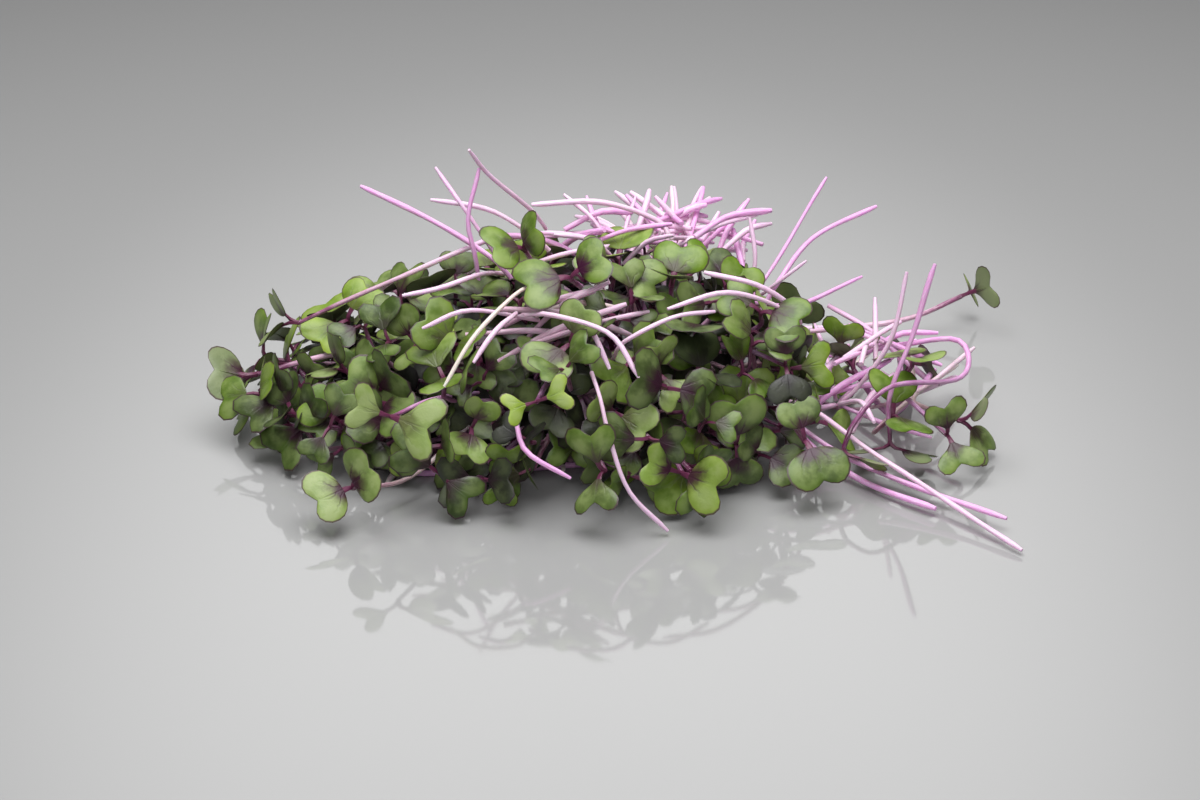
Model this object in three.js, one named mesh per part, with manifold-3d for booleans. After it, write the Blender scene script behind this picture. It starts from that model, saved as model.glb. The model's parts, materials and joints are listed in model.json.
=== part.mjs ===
// A loose heap of cut red cabbage microgreens lying on a flat surface, in millimetres, +Z up.
// A seedling is one pale pink stem that forks at its top into two short stalks, each with a
// notched, two-lobed seed leaf. The leaves lie in a mound, +Y is the back, where most of the
// cut ends point, and a few seedlings have fallen loose on the right.
import * as THREE from "three";
import { mergeVertices } from "three/addons/utils/BufferGeometryUtils.js";
import Module from "manifold-3d";

const wasm = await Module();
wasm.setup();

const v = (p) => new THREE.Vector3(...p);

// Driving dimensions of the mound of leaves: the point on the surface under its top, how far it
// reaches to the left, to the right, to the front and back, and up, and how much its long left
// end sags
const mound = { middle: v([1, 0, 0]), left: 84, right: 53, depth: 48, height: 43, sag: 0.36 };
// The same for the few seedlings that lie loose at its right
const rightMound = { middle: v([63, -8, 0]), left: 16, right: 17, depth: 22, height: 20, sag: 0 };
// Where the middle of the whole object's box lies, so that the part can be centred on it
const boxMiddle = { x: 3.43, y: -3.5 };

// Sizes of a seedling
const stemRadius = 0.8;
const stalkHalfWidth = 0.8;
const stalkLength = 3.4;
const leafThickness = 0.64;
const leafHalfWidth = { low: 4.9, high: 6.9 };
// Half-sizes of the knot in which the stems of a bunch cross
const evenKnot = v([2.2, 2.2, 2.2]);
// How far a single seedling's stem ends short of its fork
const forkClearance = 1.1;

// Clearance between pieces that touch, and how much further a stem's corners go out for it
const gap = 0.3;
const grown = gap + 0.05;
const squareCorner = 1.42;
const triangleCorner = 2;
// Edges shorter than this are closed up
const smallestEdge = 0.05;

const colours = { stem: 0xd9a3d6, leaf: 0x5f8f35 };

// How many leafy bunches the mound is made of, and how many seedlings they hold in all
const bunchCount = 15;
const seedlingCount = 88;
const rightCount = 7;
// Where the draws start, one for each seedling
const firstSeeds = { singles: 500, right: 301, mound: 1 };
// How deep the bunches' knots lie between the middle and the skin of the mound, and how much higher
const knotDepth = 0.42;
const knotLift = v([0, 0, 5]);
// The lowest ways that bunches and seedlings lie in, as heights on a ball of 1, and how much both
// are drawn towards the long left end
const lowestWay = { knot: 0.1, leaves: 0.03 };
const drawnLeft = 0.25;
// How many ways of laying each seedling are compared, how far it may be moved from the skin of
// the mound, and what each place where its stem meets another costs beside that
const triesEach = 12;
const farthestShift = 9;
const crossingCost = 10;
const sameShift = 1e-9;
// Where a fork lies as a share of the mound's reach, how its stem leaves it below the leaves and
// inwards, how much of the stem has to lie clear, and how the pairs of leaves differ
const forkShare = 0.9;
const neckBack = { below: 7, inwards: 4, bend: 4 };
const clearShare = 0.4;
const wayWander = { aside: 0.08, down: 0.03, up: 0.06 };
const faceWander = { aside: 0.55, down: 0.35, up: 0.55 };
const pairRise = { low: 4, high: 38 };
const secondLeaf = { low: 0.74, high: 0.96 };
// Room kept under a seedling's marks and round a stem
const floorClearance = 1.5;
const lowestNeck = 2.2;
const stemRoom = 2.8;

// Outline of a seed leaf for a half-width of 1, anticlockwise from where its stalk ends: two
// round lobes with a notch between them
const leafOutline = [
  [0.13, 0.02],
  [0.84, 0.36],
  [1.02, 0.9],
  [0.56, 1.28],
  [0, 0.98],
  [-0.56, 1.28],
  [-1.02, 0.9],
  [-0.84, 0.36],
  [-0.13, 0.02],
];
const leafHeart = [0, 0.64];
// How far a seed leaf is folded, droops and is twisted, from least to most
const leafBend = { fold: [-0.16, 0.26], droop: [-0.02, 0.2], twist: [-0.12, 0.12] };
// How a stalk leans back from its leaf, as parts of its length along and below the leaf
const stalkLean = { along: 0.88, below: 0.48 };

// Single seedlings, each with its stem's line from the cut end to the fork, the way the pair of
// leaves faces, the way the first leaf points, the angle that both rise towards facing, and the
// half-widths of the two leaves
const singles = [
  {
    name: "far_left",
    line: [[-21, 3, 43], [-44, 1, 33.5], [-66, 0, 23]],
    face: [-0.96, -0.1, 0.27],
    along: [0.15, 0.6, 0.76],
    rise: 45,
    leaves: [5.2, 5.6],
  },
  {
    name: "left_tip",
    line: [[-44, 4, 15], [-60, -2, 16], [-75, -5, 13]],
    face: [-0.93, 0.1, -0.3],
    along: [-0.36, -0.5, 0.79],
    rise: 48,
    leaves: [6.8, 5.0],
  },
  {
    name: "low_left",
    line: [[-28, -24, 10], [-40, -38, 5], [-51, -47, 7.5]],
    face: [-0.62, -0.25, 0.7],
    along: [-0.72, -0.3, -0.6],
    rise: 38,
    leaves: [6.2, 6.2],
  },
  {
    name: "left_upright",
    line: [[-34, -2, 13], [-44, -9, 12], [-54, -14, 17.5]],
    face: [-0.75, -0.16, 0.64],
    along: [0.51, 0.46, 0.72],
    rise: 50,
    leaves: [5.8, 5.2],
  },
  {
    name: "top_left",
    line: [[-6, 6, 27], [-12, -2, 35], [-16, -6, 43]],
    face: [-0.68, 0.28, 0.68],
    along: [0.09, -0.89, 0.45],
    rise: 48,
    leaves: [6.2, 5.4],
  },
  {
    name: "far_right",
    line: [[42, 36, 4], [62, 40, 3.2], [74, 42, 4.6], [85, 45, 8.5]],
    face: [0.9, 0.35, 0.25],
    along: [0.35, -0.8, 0.5],
    rise: 30,
    leaves: [5.2, 4.4],
  },
  {
    name: "right_pair",
    line: [[62, 24, 4], [57, 14, 6], [53, 5, 13.5]],
    face: [-0.1, -0.9, 0.35],
    along: [0.2, 0.35, 0.9],
    rise: 22,
    leaves: [4.8, 4.4],
  },
  {
    name: "hanging",
    line: [[71, -14, 43.5], [66, -18, 28], [62, -23, 16], [62, -26, 7.5]],
    face: [0, -0.35, -0.93],
    along: [0.95, -0.3, 0.1],
    rise: 8,
    leaves: [5.6, 5.0],
  },
  {
    name: "looped",
    line: [
      [52, 18, 6], [66, 9, 13], [78, 3, 17.5], [80.5, -4, 16],
      [77, -12, 15], [62, -25, 20], [54, -31, 15], [51.5, -33, 9.5],
    ],
    face: [-0.1, -0.5, -0.85],
    along: [0.95, -0.1, -0.05],
    rise: 6,
    leaves: [5.4, 5.0],
  },
  {
    name: "rightmost",
    line: [[57, 2, 12], [65, -13, 12.5], [74, -25, 8.5]],
    face: [0.17, -0.9, 0.38],
    along: [-0.28, 0.28, 0.92],
    rise: 32,
    leaves: [5.0, 5.4],
  },
  {
    name: "front_right",
    line: [[28, -14, 17], [37, -24, 17], [43, -35, 12]],
    face: [0.1, -0.7, 0.7],
    along: [0.35, -0.75, -0.55],
    rise: 16,
    leaves: [7.0, 5.0],
  },
  {
    name: "front_bright",
    line: [[6, -20, 17], [12, -34, 15], [17, -46, 10.5]],
    face: [-0.2, -0.85, 0.45],
    along: [0.95, -0.25, -0.25],
    rise: 24,
    leaves: [6.4, 4.8],
  },
  {
    name: "front_middle",
    line: [[-4, -22, 15], [-2, -36, 14], [1, -48, 12]],
    face: [-0.5, -0.75, 0.42],
    along: [-0.1, 0.46, 0.88],
    rise: 30,
    leaves: [6.0, 5.4],
  },
  {
    name: "small_clover",
    line: [[-10, -22, 20], [-12, -34, 24], [-13, -46, 27]],
    face: [0, -0.85, 0.5],
    along: [0.9, 0.1, 0.3],
    rise: 18,
    leaves: [3.9, 3.6],
  },
  {
    name: "dark_pair",
    line: [[22, -8, 22], [32, -16, 24], [39, -25, 25]],
    face: [0.2, -0.75, 0.6],
    along: [0.95, 0.2, -0.1],
    rise: 22,
    leaves: [4.8, 4.6],
  },
  {
    name: "pale_front",
    line: [[-26, -20, 16], [-36, -32, 20], [-43, -43, 22]],
    face: [0, -0.8, 0.6],
    along: [0.2, -0.7, -0.65],
    rise: 20,
    leaves: [6.8, 5.0],
  },
  {
    name: "big_top",
    line: [[0, -6, 28], [-3, -14, 37], [-6, -22, 43.5]],
    face: [-0.2, -0.55, 0.8],
    along: [-0.9, -0.3, -0.1],
    rise: 20,
    leaves: [7.2, 5.8],
  },
];

// Bundles of stems whose leaves are buried: each has a knot where its stems cross, and the line
// of each stem from its cut end to the knot
const bundles = [
  {
    name: "top_left_sticks",
    knot: [-20, 2, 34],
    lines: [
      [[-53, 20, 47], [-36, 7, 44], [-24, -2, 40]],
      [[-36, 14, 54], [-29, 7, 46]],
      [[-37, 10, 48], [-24, 7, 47], [-16, 5, 43]],
      [[-26, 4, 58], [-28, 0, 48], [-27, -2, 41]],
      [[-28, 2, 63], [-24, 5, 56], [-15, 9, 46]],
      [[-42, -16, 37], [-34, -14, 38], [-26, -8, 38]],
    ],
  },
  {
    name: "top_arch_sticks",
    knot: [4, 6, 33],
    lines: [
      [[-15, 12, 46], [1, 12, 46.5], [14, 12, 41], [14, 8, 36]],
      [[-8, 20, 45], [-1, 14, 41]],
      [[-3, 26, 42], [-1, 18, 39]],
      [[8, 28, 41], [6, 18, 39]],
      [[-10, -2, 45], [-2, 0, 43], [2, 3, 38]],
      [[16, 0, 44], [10, 3, 41]],
    ],
  },
  {
    name: "middle_sticks",
    knot: [-12, -20, 33],
    lines: [
      [[-32, -43, 29], [-26, -37, 37], [-18, -28, 42.5]],
      [[8, -43, 31], [2, -37, 38], [-10, -32, 40]],
      [[-37, -30, 36], [-27, -28, 39]],
      [[-26, -40, 33], [-21, -34, 38]],
      [[2, -37, 30], [-2, -32, 36]],
    ],
  },
  {
    name: "middle_right_sticks",
    knot: [20, -14, 30],
    lines: [
      [[24, -26, 38], [15, -32, 39.5], [5, -35, 35.5], [3, -29, 29]],
      [[22, -15, 42], [34, -16, 39], [43, -12, 29], [36, -10, 24]],
      [[14, -29, 40], [27, -23, 41], [40, -17, 33], [40, -14, 25]],
    ],
  },
  {
    name: "top_right_sticks",
    knot: [33, 6, 25],
    lines: [
      [[51, 30, 45], [42, 19, 34]],
      [[62, 25, 40], [47, 14, 37], [39, 4, 31]],
      [[59, 20, 25], [45, 12, 22]],
      [[33, 14, 42], [34, 10, 34]],
      [[45, 2, 37], [39, 2, 32]],
    ],
  },
  {
    name: "right_sticks",
    knot: [52, -8, 7],
    lines: [
      [[66, -6, 38], [63, -10, 24], [56, -10, 12]],
      [[71, 12, 13], [61, 3, 10]],
      [[48, 12, 17], [50, 3, 13]],
      [[72, -17, 3.5], [62, -13, 5]],
      [[58, -30, 14], [56, -19, 13]],
      [[44, -20, 12], [48, -14, 9]],
    ],
  },
  {
    name: "front_right_sticks",
    knot: [39, -18, 10],
    lines: [
      [[86, -62, 1.2], [72, -46, 4], [58, -33, 8], [46, -27, 15]],
      [[84, -52, 3], [66, -37, 2.6], [52, -26, 4]],
      [[70, -46, 2], [56, -34, 1.8], [47, -25, 4]],
    ],
  },
  {
    name: "front_sticks",
    knot: [-5, -34, 22],
    lines: [
      [[14, -54, 1.2], [6, -53, 10], [2, -49, 20], [0, -44, 27]],
      [[-6, -53, 13], [-15, -51, 18], [-17, -43, 20]],
    ],
  },
];

// The bundle of cut ends at the back fans out from its knot
const backBundle = {
  name: "back_sticks",
  knot: [14, 25, 26],
  knotReach: [10, 3.5, 5],
  count: 18,
  length: { low: 24, high: 32 },
  rootSpread: [0.75, 0.4],
  aside: { fan: 0.4, wander: 0.25 },
  up: { fan: 0.12, low: -0.32, high: 0.42 },
  levels: 5,
  bend: { aside: 2, up: 2.5 },
  seed: 74,
};

// Stems that lie flat under the heap and carry it: where the middle of each lies from their
// middle, how far it is turned from +X, and its length
const underside = {
  name: "underside_sticks",
  middle: v([-12, 0, 0]),
  height: 1.4,
  width: 1.7,
  bars: [
    { x: 4, y: -25, turn: 7, length: 64 },
    { x: -4, y: 2, turn: -11, length: 60 },
    { x: 6, y: 25, turn: 4, length: 58 },
    { x: -27, y: -3, turn: 79, length: 62 },
    { x: 1, y: 3, turn: 97, length: 60 },
    { x: 29, y: -2, turn: 84, length: 58 },
  ],
};

// A draw that gives the same numbers on every machine
function seededDraw(seed) {
  let state = Math.imul(seed, 2654435761) >>> 0;
  const step = () => {
    state = (Math.imul(state, 1664525) + 1013904223) >>> 0;
    return state / 4294967296;
  };
  step();
  return (low, high) => low + (high - low) * step();
}

// A way made square to another and one long
function squareTo(way, other) {
  return way.clone().addScaledVector(other, -way.dot(other)).normalize();
}

// The frame of one of a seedling's two seed leaves: y runs from its stalk to its notch, and z
// out of its upper face
function leafFrame(seedling, k) {
  const out = seedling.along.clone().multiplyScalar(k === 0 ? 1 : -1);
  const turn = THREE.MathUtils.degToRad(seedling.rise);
  const [level, risen] = [Math.cos(turn), Math.sin(turn)];
  const y = out.clone().multiplyScalar(level).addScaledVector(seedling.face, risen);
  const z = seedling.face.clone().multiplyScalar(level).addScaledVector(out, -risen);
  const base = seedling.line.at(-1).clone();
  base.addScaledVector(y, stalkLean.along * stalkLength);
  base.addScaledVector(z, stalkLean.below * stalkLength);
  return new THREE.Matrix4().makeBasis(y.clone().cross(z), y, z).setPosition(base);
}

// Height of a seed leaf over its own plane, for a half-width of 1: folded along its middle,
// drooping to the tip and a little twisted
function leafHeight(shape, x, y) {
  return shape.fold * Math.abs(x) ** 1.5 - shape.droop * y * y + shape.twist * x * y;
}

function leafPoint(seedling, k, x, y, lift = 0) {
  const half = seedling.leaves[k];
  const height = half * leafHeight(seedling.shapes[k], x, y) + lift;
  return v([x * half, y * half, height]);
}

// How the two leaves of a seedling are folded, by a draw
function leafShapes(draw) {
  const { fold, droop, twist } = leafBend;
  const shape = () => ({ fold: draw(...fold), droop: draw(...droop), twist: draw(...twist) });
  return [shape(), shape()];
}

// Points along a seedling that keep others clear of it: over both leaves and down the stem
const leafMarks = [
  [0, -0.25], [0, 0.3], [0.45, 0.45], [-0.45, 0.45], [0.82, 0.72], [-0.82, 0.72],
  [0.3, 0.82], [-0.3, 0.82], [0.62, 1.08], [-0.62, 1.08], [0, 0.62],
];
const markRadius = 1.2;
const markSpacing = 2;

function marksOf(seedling, stemShare) {
  const marks = [];
  for (const k of [0, 1]) {
    const matrix = leafFrame(seedling, k);
    for (const [x, y] of leafMarks) marks.push(leafPoint(seedling, k, x, y).applyMatrix4(matrix));
  }
  return marks.concat(marksAlong(seedling.line, stemShare));
}

// Points on a line of points, from the far end back over a share of its length
function marksAlong(line, share) {
  const curve = new THREE.CatmullRomCurve3(line, false, "catmullrom", 0.5);
  const count = Math.max(1, Math.ceil((curve.getLength() * share) / markSpacing));
  return Array.from({ length: count + 1 }, (_, i) => curve.getPointAt(1 - (share * i) / count));
}

// How far a seedling has to be moved along a way from where it would lie best, so that none of
// its marks meets one of those that lie there already
function freeShift(marks, way, placed, farthest) {
  const blocked = [];
  for (const a of marks)
    for (const b of placed) {
      const [x, y, z] = [b.point.x - a.x, b.point.y - a.y, b.point.z - a.z];
      const middle = x * way.x + y * way.y + z * way.z;
      const room = (markRadius + b.radius) ** 2 + middle * middle - (x * x + y * y + z * z);
      if (room <= 0) continue;
      const half = Math.sqrt(room);
      const [low, high] = [middle - half, middle + half];
      if (low < farthest && high > -farthest) blocked.push([low, high]);
    }
  const inside = (shift, [low, high]) => shift > low + sameShift && shift < high - sameShift;
  const ends = [0, ...blocked.flat()].filter((shift) => Math.abs(shift) < farthest);
  const free = ends.filter((shift) => !blocked.some((range) => inside(shift, range)));
  return free.reduce((a, b) => (Math.abs(b) < Math.abs(a) ? b : a), Infinity);
}

// A way spread evenly over the upper half of a ball by the golden angle, and then drawn towards
// the long left end
function spreadOverDome(i, count, lowest) {
  const z = 1 - ((i + 0.5) / count) * (1 - lowest);
  const golden = i * Math.PI * (3 - Math.sqrt(5));
  const turn = golden + drawnLeft * Math.sin(golden);
  const r = Math.sqrt(1 - z * z);
  return v([r * Math.cos(turn), r * Math.sin(turn), z]);
}

// How far a mound reaches in each direction, on the side that a way points to
function reachTowards(way, { left, right, depth, height, sag }) {
  return v([way.x < 0 ? left : right, depth, height * (1 - sag * Math.max(0, -way.x))]);
}

// The point in a mound that lies at a share of its reach along a way
function pointInMound(way, share, shape) {
  return way.clone().multiply(reachTowards(way, shape)).multiplyScalar(share).add(shape.middle);
}

// A mound's seedlings are laid one by one over its skin, each moved in or out until it is clear
// of those that lie there, and its stem runs in to the knot of the nearest bunch
function layMound(shape, names, count, firstSeed, placed, stemMarks) {
  const bunches = names.map((name, k) => {
    const way = spreadOverDome(k, names.length, lowestWay.knot);
    return { name, way, knot: pointInMound(way, knotDepth, shape).add(knotLift), seedlings: [] };
  });
  for (let i = 0; i < count; i++) {
    const draw = seededDraw(firstSeed + i);
    const way = spreadOverDome(i, count, lowestWay.leaves);
    way.add(wander(draw, wayWander)).normalize();
    const bunch = bunches.reduce((a, b) => (b.way.dot(way) > a.way.dot(way) ? b : a));
    const lay = () => layOne(draw, way, shape, bunch, placed, stemMarks);
    const tries = Array.from({ length: triesEach }, lay);
    const best = tries.reduce((a, b) => (b.score > a.score ? b : a));
    if (best.score === -Infinity) continue;
    bunch.seedlings.push(best.seedling);
    const stem = marksAlong(best.seedling.line, 1);
    placed.push(...marksOf(best.seedling, 0).map((point) => ({ point, radius: markRadius })));
    placed.push(...stem.map((point) => ({ point, radius: stemRadius })));
    stemMarks.push(...stem.map((point) => ({ point, owner: bunch })));
  }
  return bunches;
}

// A small random way, drawn aside, back and up
function wander(draw, { aside, down, up }) {
  return v([draw(-aside, aside), draw(-aside, aside), draw(-down, up)]);
}

// One way of laying a seedling of a mound
function layOne(draw, way, shape, bunch, placed, stemMarks) {
  const outward = way.clone().divide(reachTowards(way, shape)).normalize();
  const fork = pointInMound(way, forkShare, shape);
  const face = outward.clone().add(wander(draw, faceWander)).normalize();
  const along = squareTo(v([draw(-1, 1), draw(-1, 1), draw(-1, 1)]), face);
  const size = draw(leafHalfWidth.low, leafHalfWidth.high);
  const bent = () => draw(-neckBack.bend, neckBack.bend);
  const neck = fork.clone().add(v([bent(), bent(), bent()]));
  neck.addScaledVector(face, -neckBack.below).addScaledVector(outward, -neckBack.inwards);
  const seedling = {
    line: [neck, fork],
    face,
    along,
    rise: draw(pairRise.low, pairRise.high),
    leaves: [size, size * draw(secondLeaf.low, secondLeaf.high)],
    shapes: leafShapes(draw),
  };
  const marks = marksOf(seedling, clearShare);
  const moved = freeShift(marks, outward, placed, farthestShift);
  const shift = outward.clone().multiplyScalar(Number.isFinite(moved) ? moved : 0);
  const lowest = Math.min(...marks.map((m) => m.z)) + shift.z - markRadius;
  if (lowest < floorClearance) shift.z += floorClearance - lowest;
  seedling.line.forEach((p) => p.add(shift));
  neck.z = Math.max(neck.z, lowestNeck);
  seedling.line = endInKnot(seedling.line.reverse(), bunch.knot, evenKnot).reverse();
  const crossings = marksAlong(seedling.line, 1).filter((p) =>
    stemMarks.some((m) => m.owner !== bunch && m.point.distanceTo(p) < stemRoom),
  );
  return { seedling, score: -Math.abs(moved) - crossingCost * crossings.length };
}

// A solid from a three.js geometry
function solidOf(geometry) {
  const bare = new THREE.BufferGeometry().setAttribute("position", geometry.getAttribute("position"));
  if (geometry.index) bare.setIndex(geometry.index);
  const merged = mergeVertices(bare.index ? bare.toNonIndexed() : bare, 1e-4);
  return new wasm.Manifold(
    new wasm.Mesh({
      numProp: 3,
      vertProperties: merged.attributes.position.array,
      triVerts: new Uint32Array(merged.index.array),
    }),
  );
}

function geometryOf(solid) {
  const mesh = solid.getMesh();
  return new THREE.BufferGeometry()
    .setAttribute("position", new THREE.BufferAttribute(mesh.vertProperties, 3))
    .setIndex(new THREE.BufferAttribute(mesh.triVerts, 1));
}

// A round rod along a line of points, with few sides
function rod(line, radius, sides, steps) {
  const ring = Array.from({ length: sides }, (_, i) => {
    const turn = (2 * Math.PI * (i + 0.5)) / sides;
    return new THREE.Vector2(radius * Math.cos(turn), radius * Math.sin(turn));
  });
  const path = new THREE.CatmullRomCurve3(line, false, "catmullrom", 0.5);
  return solidOf(
    new THREE.ExtrudeGeometry(new THREE.Shape(ring), { steps, bevelEnabled: false, extrudePath: path }),
  );
}

// The pair of seed leaves with their stalks as one thin sheet that is bent at the fork, and
// triangulated alike on both faces
function leafPair(seedling, grow) {
  const thick = leafThickness / 2 + grow;
  const across = seedling.along.clone().cross(seedling.face);
  const atFork = (x, side) =>
    seedling.line.at(-1).clone()
      .addScaledVector(across, x * (stalkHalfWidth + grow))
      .addScaledVector(seedling.face, side * thick);
  const onLeaf = (k, x, y, side) => {
    const wider = 1 + grow / seedling.leaves[k];
    const [outX, outY] = [x, y].map((at, i) => leafHeart[i] + (at - leafHeart[i]) * wider);
    const point = leafPoint(seedling, k, outX, outY, side * thick);
    return point.applyMatrix4(leafFrame(seedling, k));
  };
  const oneFace = (side) => [
    atFork(1, side),
    atFork(-1, side),
    ...[0, 1].flatMap((k) => [...leafOutline, leafHeart].map(([x, y]) => onLeaf(k, x, y, side))),
  ];
  const points = [...oneFace(1), ...oneFace(-1)];
  const under = points.length / 2;
  const faces = [0, 1].flatMap((k) => {
    const first = 2 + k * (leafOutline.length + 1);
    const heart = first + leafOutline.length;
    const edge = [k, ...leafOutline.map((_, i) => first + i), 1 - k];
    const upper = [
      [edge[0], edge[1], edge.at(-1)],
      [edge[1], edge.at(-2), edge.at(-1)],
      [heart, edge.at(-2), edge[1]],
      ...leafOutline.slice(1).map((_, i) => [heart, first + i, first + i + 1]),
    ];
    const bothFaces = upper.flatMap(([i, j, l]) => [i, j, l, under + i, under + l, under + j]);
    const walls = edge.slice(1).flatMap((next, i) => {
      const last = edge[i];
      return [last, under + last, next, next, under + last, under + next];
    });
    return [...bothFaces, ...walls];
  });
  return solidOf(new THREE.BufferGeometry().setFromPoints(points).setIndex(faces));
}

const union = (solids) => wasm.Manifold.union(solids);

// The largest piece of a solid, without the scraps that a cut leaves
function largest(solid) {
  const pieces = solid.asOriginal().simplify(smallestEdge).decompose();
  return pieces.reduce((a, b) => (b.volume() > a.volume() ? b : a));
}

function knotSolid(knot, reach, grow) {
  const lump = new THREE.OctahedronGeometry(1, 0).scale(...reach.clone().addScalar(2 * grow).toArray());
  return solidOf(lump.translate(knot.x, knot.y, knot.z));
}

// The line of a stem that ends just inside its knot, on its own side of it
function endInKnot(line, knot, reach) {
  const before = line.at(-1);
  const way = before.clone().sub(knot).normalize().multiply(reach).multiplyScalar(0.5);
  return [...line, knot.clone().add(way)];
}

// The singles with their lines and ways as vectors
const singleSeedlings = singles.map((row, i) => {
  const face = v(row.face).normalize();
  const along = squareTo(v(row.along), face);
  const shapes = leafShapes(seededDraw(firstSeeds.singles + i));
  return { ...row, line: row.line.map(v), face, along, shapes };
});

// The back bundle's stems leave its wide knot side by side and fan out
function backLines() {
  const { count, knot, knotReach, rootSpread, length, aside, up, levels, bend, seed } = backBundle;
  const draw = seededDraw(seed);
  return Array.from({ length: count }, (_, i) => {
    const across = (2 * (i + 0.5)) / count - 1;
    const level = ((i * 2) % levels) / 2 - 1;
    const root = v([across * rootSpread[0], 0, level * rootSpread[1]]);
    root.multiply(v(knotReach)).add(v(knot));
    const wayAside = across * aside.fan + draw(-aside.wander, aside.wander);
    const way = v([wayAside, 1, level * up.fan + draw(up.low, up.high)]).normalize();
    const end = root.clone().addScaledVector(way, draw(length.low, length.high));
    const middle = root.clone().lerp(end, 0.5);
    middle.add(v([draw(-bend.aside, bend.aside), 0, draw(0, bend.up)]));
    return [end, middle, root];
  });
}

const stemBundles = bundles.map(({ name, knot, lines }) => ({
  name,
  knot: v(knot),
  knotReach: evenKnot,
  sides: 4,
  lines: lines.map((line) => endInKnot(line.map(v), v(knot), evenKnot)),
}));
stemBundles.push({
  name: backBundle.name,
  knot: v(backBundle.knot),
  knotReach: v(backBundle.knotReach),
  sides: 3,
  lines: backLines(),
});

// What lies in the heap before the mound is laid round it
const placed = [
  ...singleSeedlings.flatMap((s) => marksOf(s, 1)).map((point) => ({ point, radius: markRadius })),
  ...stemBundles
    .flatMap((bundle) => bundle.lines.flatMap((line) => marksAlong(line, 1)))
    .map((point) => ({ point, radius: stemRadius })),
];
const stemMarks = [
  ...singleSeedlings.flatMap((s) => marksAlong(s.line, 1)),
  ...stemBundles.flatMap((bundle) => bundle.lines.flatMap((line) => marksAlong(line, 1))),
].map((point) => ({ point }));
const bunchNames = Array.from(
  { length: bunchCount },
  (_, k) => "leafy_bunch_" + String(k + 1).padStart(2, "0"),
);
const bunches = [
  ...layMound(rightMound, ["right_bunch"], rightCount, firstSeeds.right, placed, stemMarks),
  ...layMound(mound, bunchNames, seedlingCount, firstSeeds.mound, placed, stemMarks),
];

// Flat stems under the heap, as plain bars that cross with their undersides on the surface
function undersideSolid(grow) {
  const { bars, width, height } = underside;
  return union(
    bars.map(({ x, y, turn, length }) => {
      const bar = new THREE.BoxGeometry(length + 2 * grow, width + 2 * grow, height + 2 * grow);
      bar.rotateZ(THREE.MathUtils.degToRad(turn));
      return solidOf(bar.translate(underside.middle.x + x, underside.middle.y + y, height / 2));
    }),
  );
}

// Each piece's stems and leaves by a function of how much they are grown, so that others can
// be kept clear of them
const pieces = singleSeedlings.flatMap((s) => {
  const end = s.line.at(-1);
  const before = s.line.at(-2);
  const cut = end.clone().lerp(before, forkClearance / end.distanceTo(before));
  const line = [...s.line.slice(0, -1), cut];
  const steps = Math.max(4, 2 * line.length - 1);
  return [
    {
      name: s.name + "_stem",
      kind: "stem",
      stems: (grow) => [rod(line, stemRadius + squareCorner * grow, 4, steps)],
    },
    { name: s.name + "_leaves", kind: "leaf", leaves: (grow) => [leafPair(s, grow)] },
  ];
});
for (const { name, lines, knot, knotReach, sides } of stemBundles)
  pieces.push({
    name,
    kind: "stem",
    stems: (grow) => [
      ...lines.map((line) => rod(line, stemRadius + triangleCorner * grow, sides, line.length - 1)),
      knotSolid(knot, knotReach, grow),
    ],
  });
pieces.push({ name: underside.name, kind: "stem", stems: (grow) => [undersideSolid(grow)] });
for (const { name, seedlings, knot } of bunches)
  pieces.push({
    name,
    kind: "leaf",
    stems: (grow) => [
      ...seedlings.map((s) => rod(s.line, stemRadius + triangleCorner * grow, 3, 2)),
      knotSolid(knot, evenKnot, grow),
    ],
    leaves: (grow) => seedlings.map((s) => leafPair(s, grow)),
  });

// Stems give way to the stems laid before them, and leaves to every other piece's stems and to
// the leaves laid before them
const stemsBefore = [];
for (const piece of pieces) {
  if (!piece.stems) continue;
  piece.stemSolid = union(piece.stems(0));
  if (stemsBefore.length) piece.stemSolid = piece.stemSolid.subtract(union(stemsBefore));
  piece.room = union(piece.stems(grown));
  stemsBefore.push(piece.room);
}

const heap = new THREE.Group();
const leavesBefore = [];
for (const piece of pieces) {
  const parts = piece.stemSolid ? [piece.stemSolid] : [];
  if (piece.leaves) {
    const others = pieces.filter((other) => other !== piece && other.room);
    const taken = [...others.map((other) => other.room), ...leavesBefore];
    parts.push(union(piece.leaves(0)).subtract(union(taken)));
    leavesBefore.push(union(piece.leaves(grown)));
  }
  const solid = largest(union(parts));
  const material = new THREE.MeshStandardMaterial({ color: colours[piece.kind], roughness: 0.5 });
  const mesh = new THREE.Mesh(geometryOf(solid), material);
  mesh.name = piece.name;
  mesh.position.set(-boxMiddle.x, -boxMiddle.y, 0);
  heap.add(mesh);
}

export default heap;
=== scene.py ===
# A loose heap of cut red cabbage microgreens on a pale, slightly glossy surface. A seedling is a
# pink stem that forks into two short stalks, each with a notched, two-lobed seed leaf. The
# seedlings lie where the solids have them, because the same rule lays them here, in millimetres
# from the point under the heap's top, and further seedlings fill the heap behind them.
import json
from math import ceil, cos, inf, isfinite, pi, radians, sin, sqrt

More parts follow.
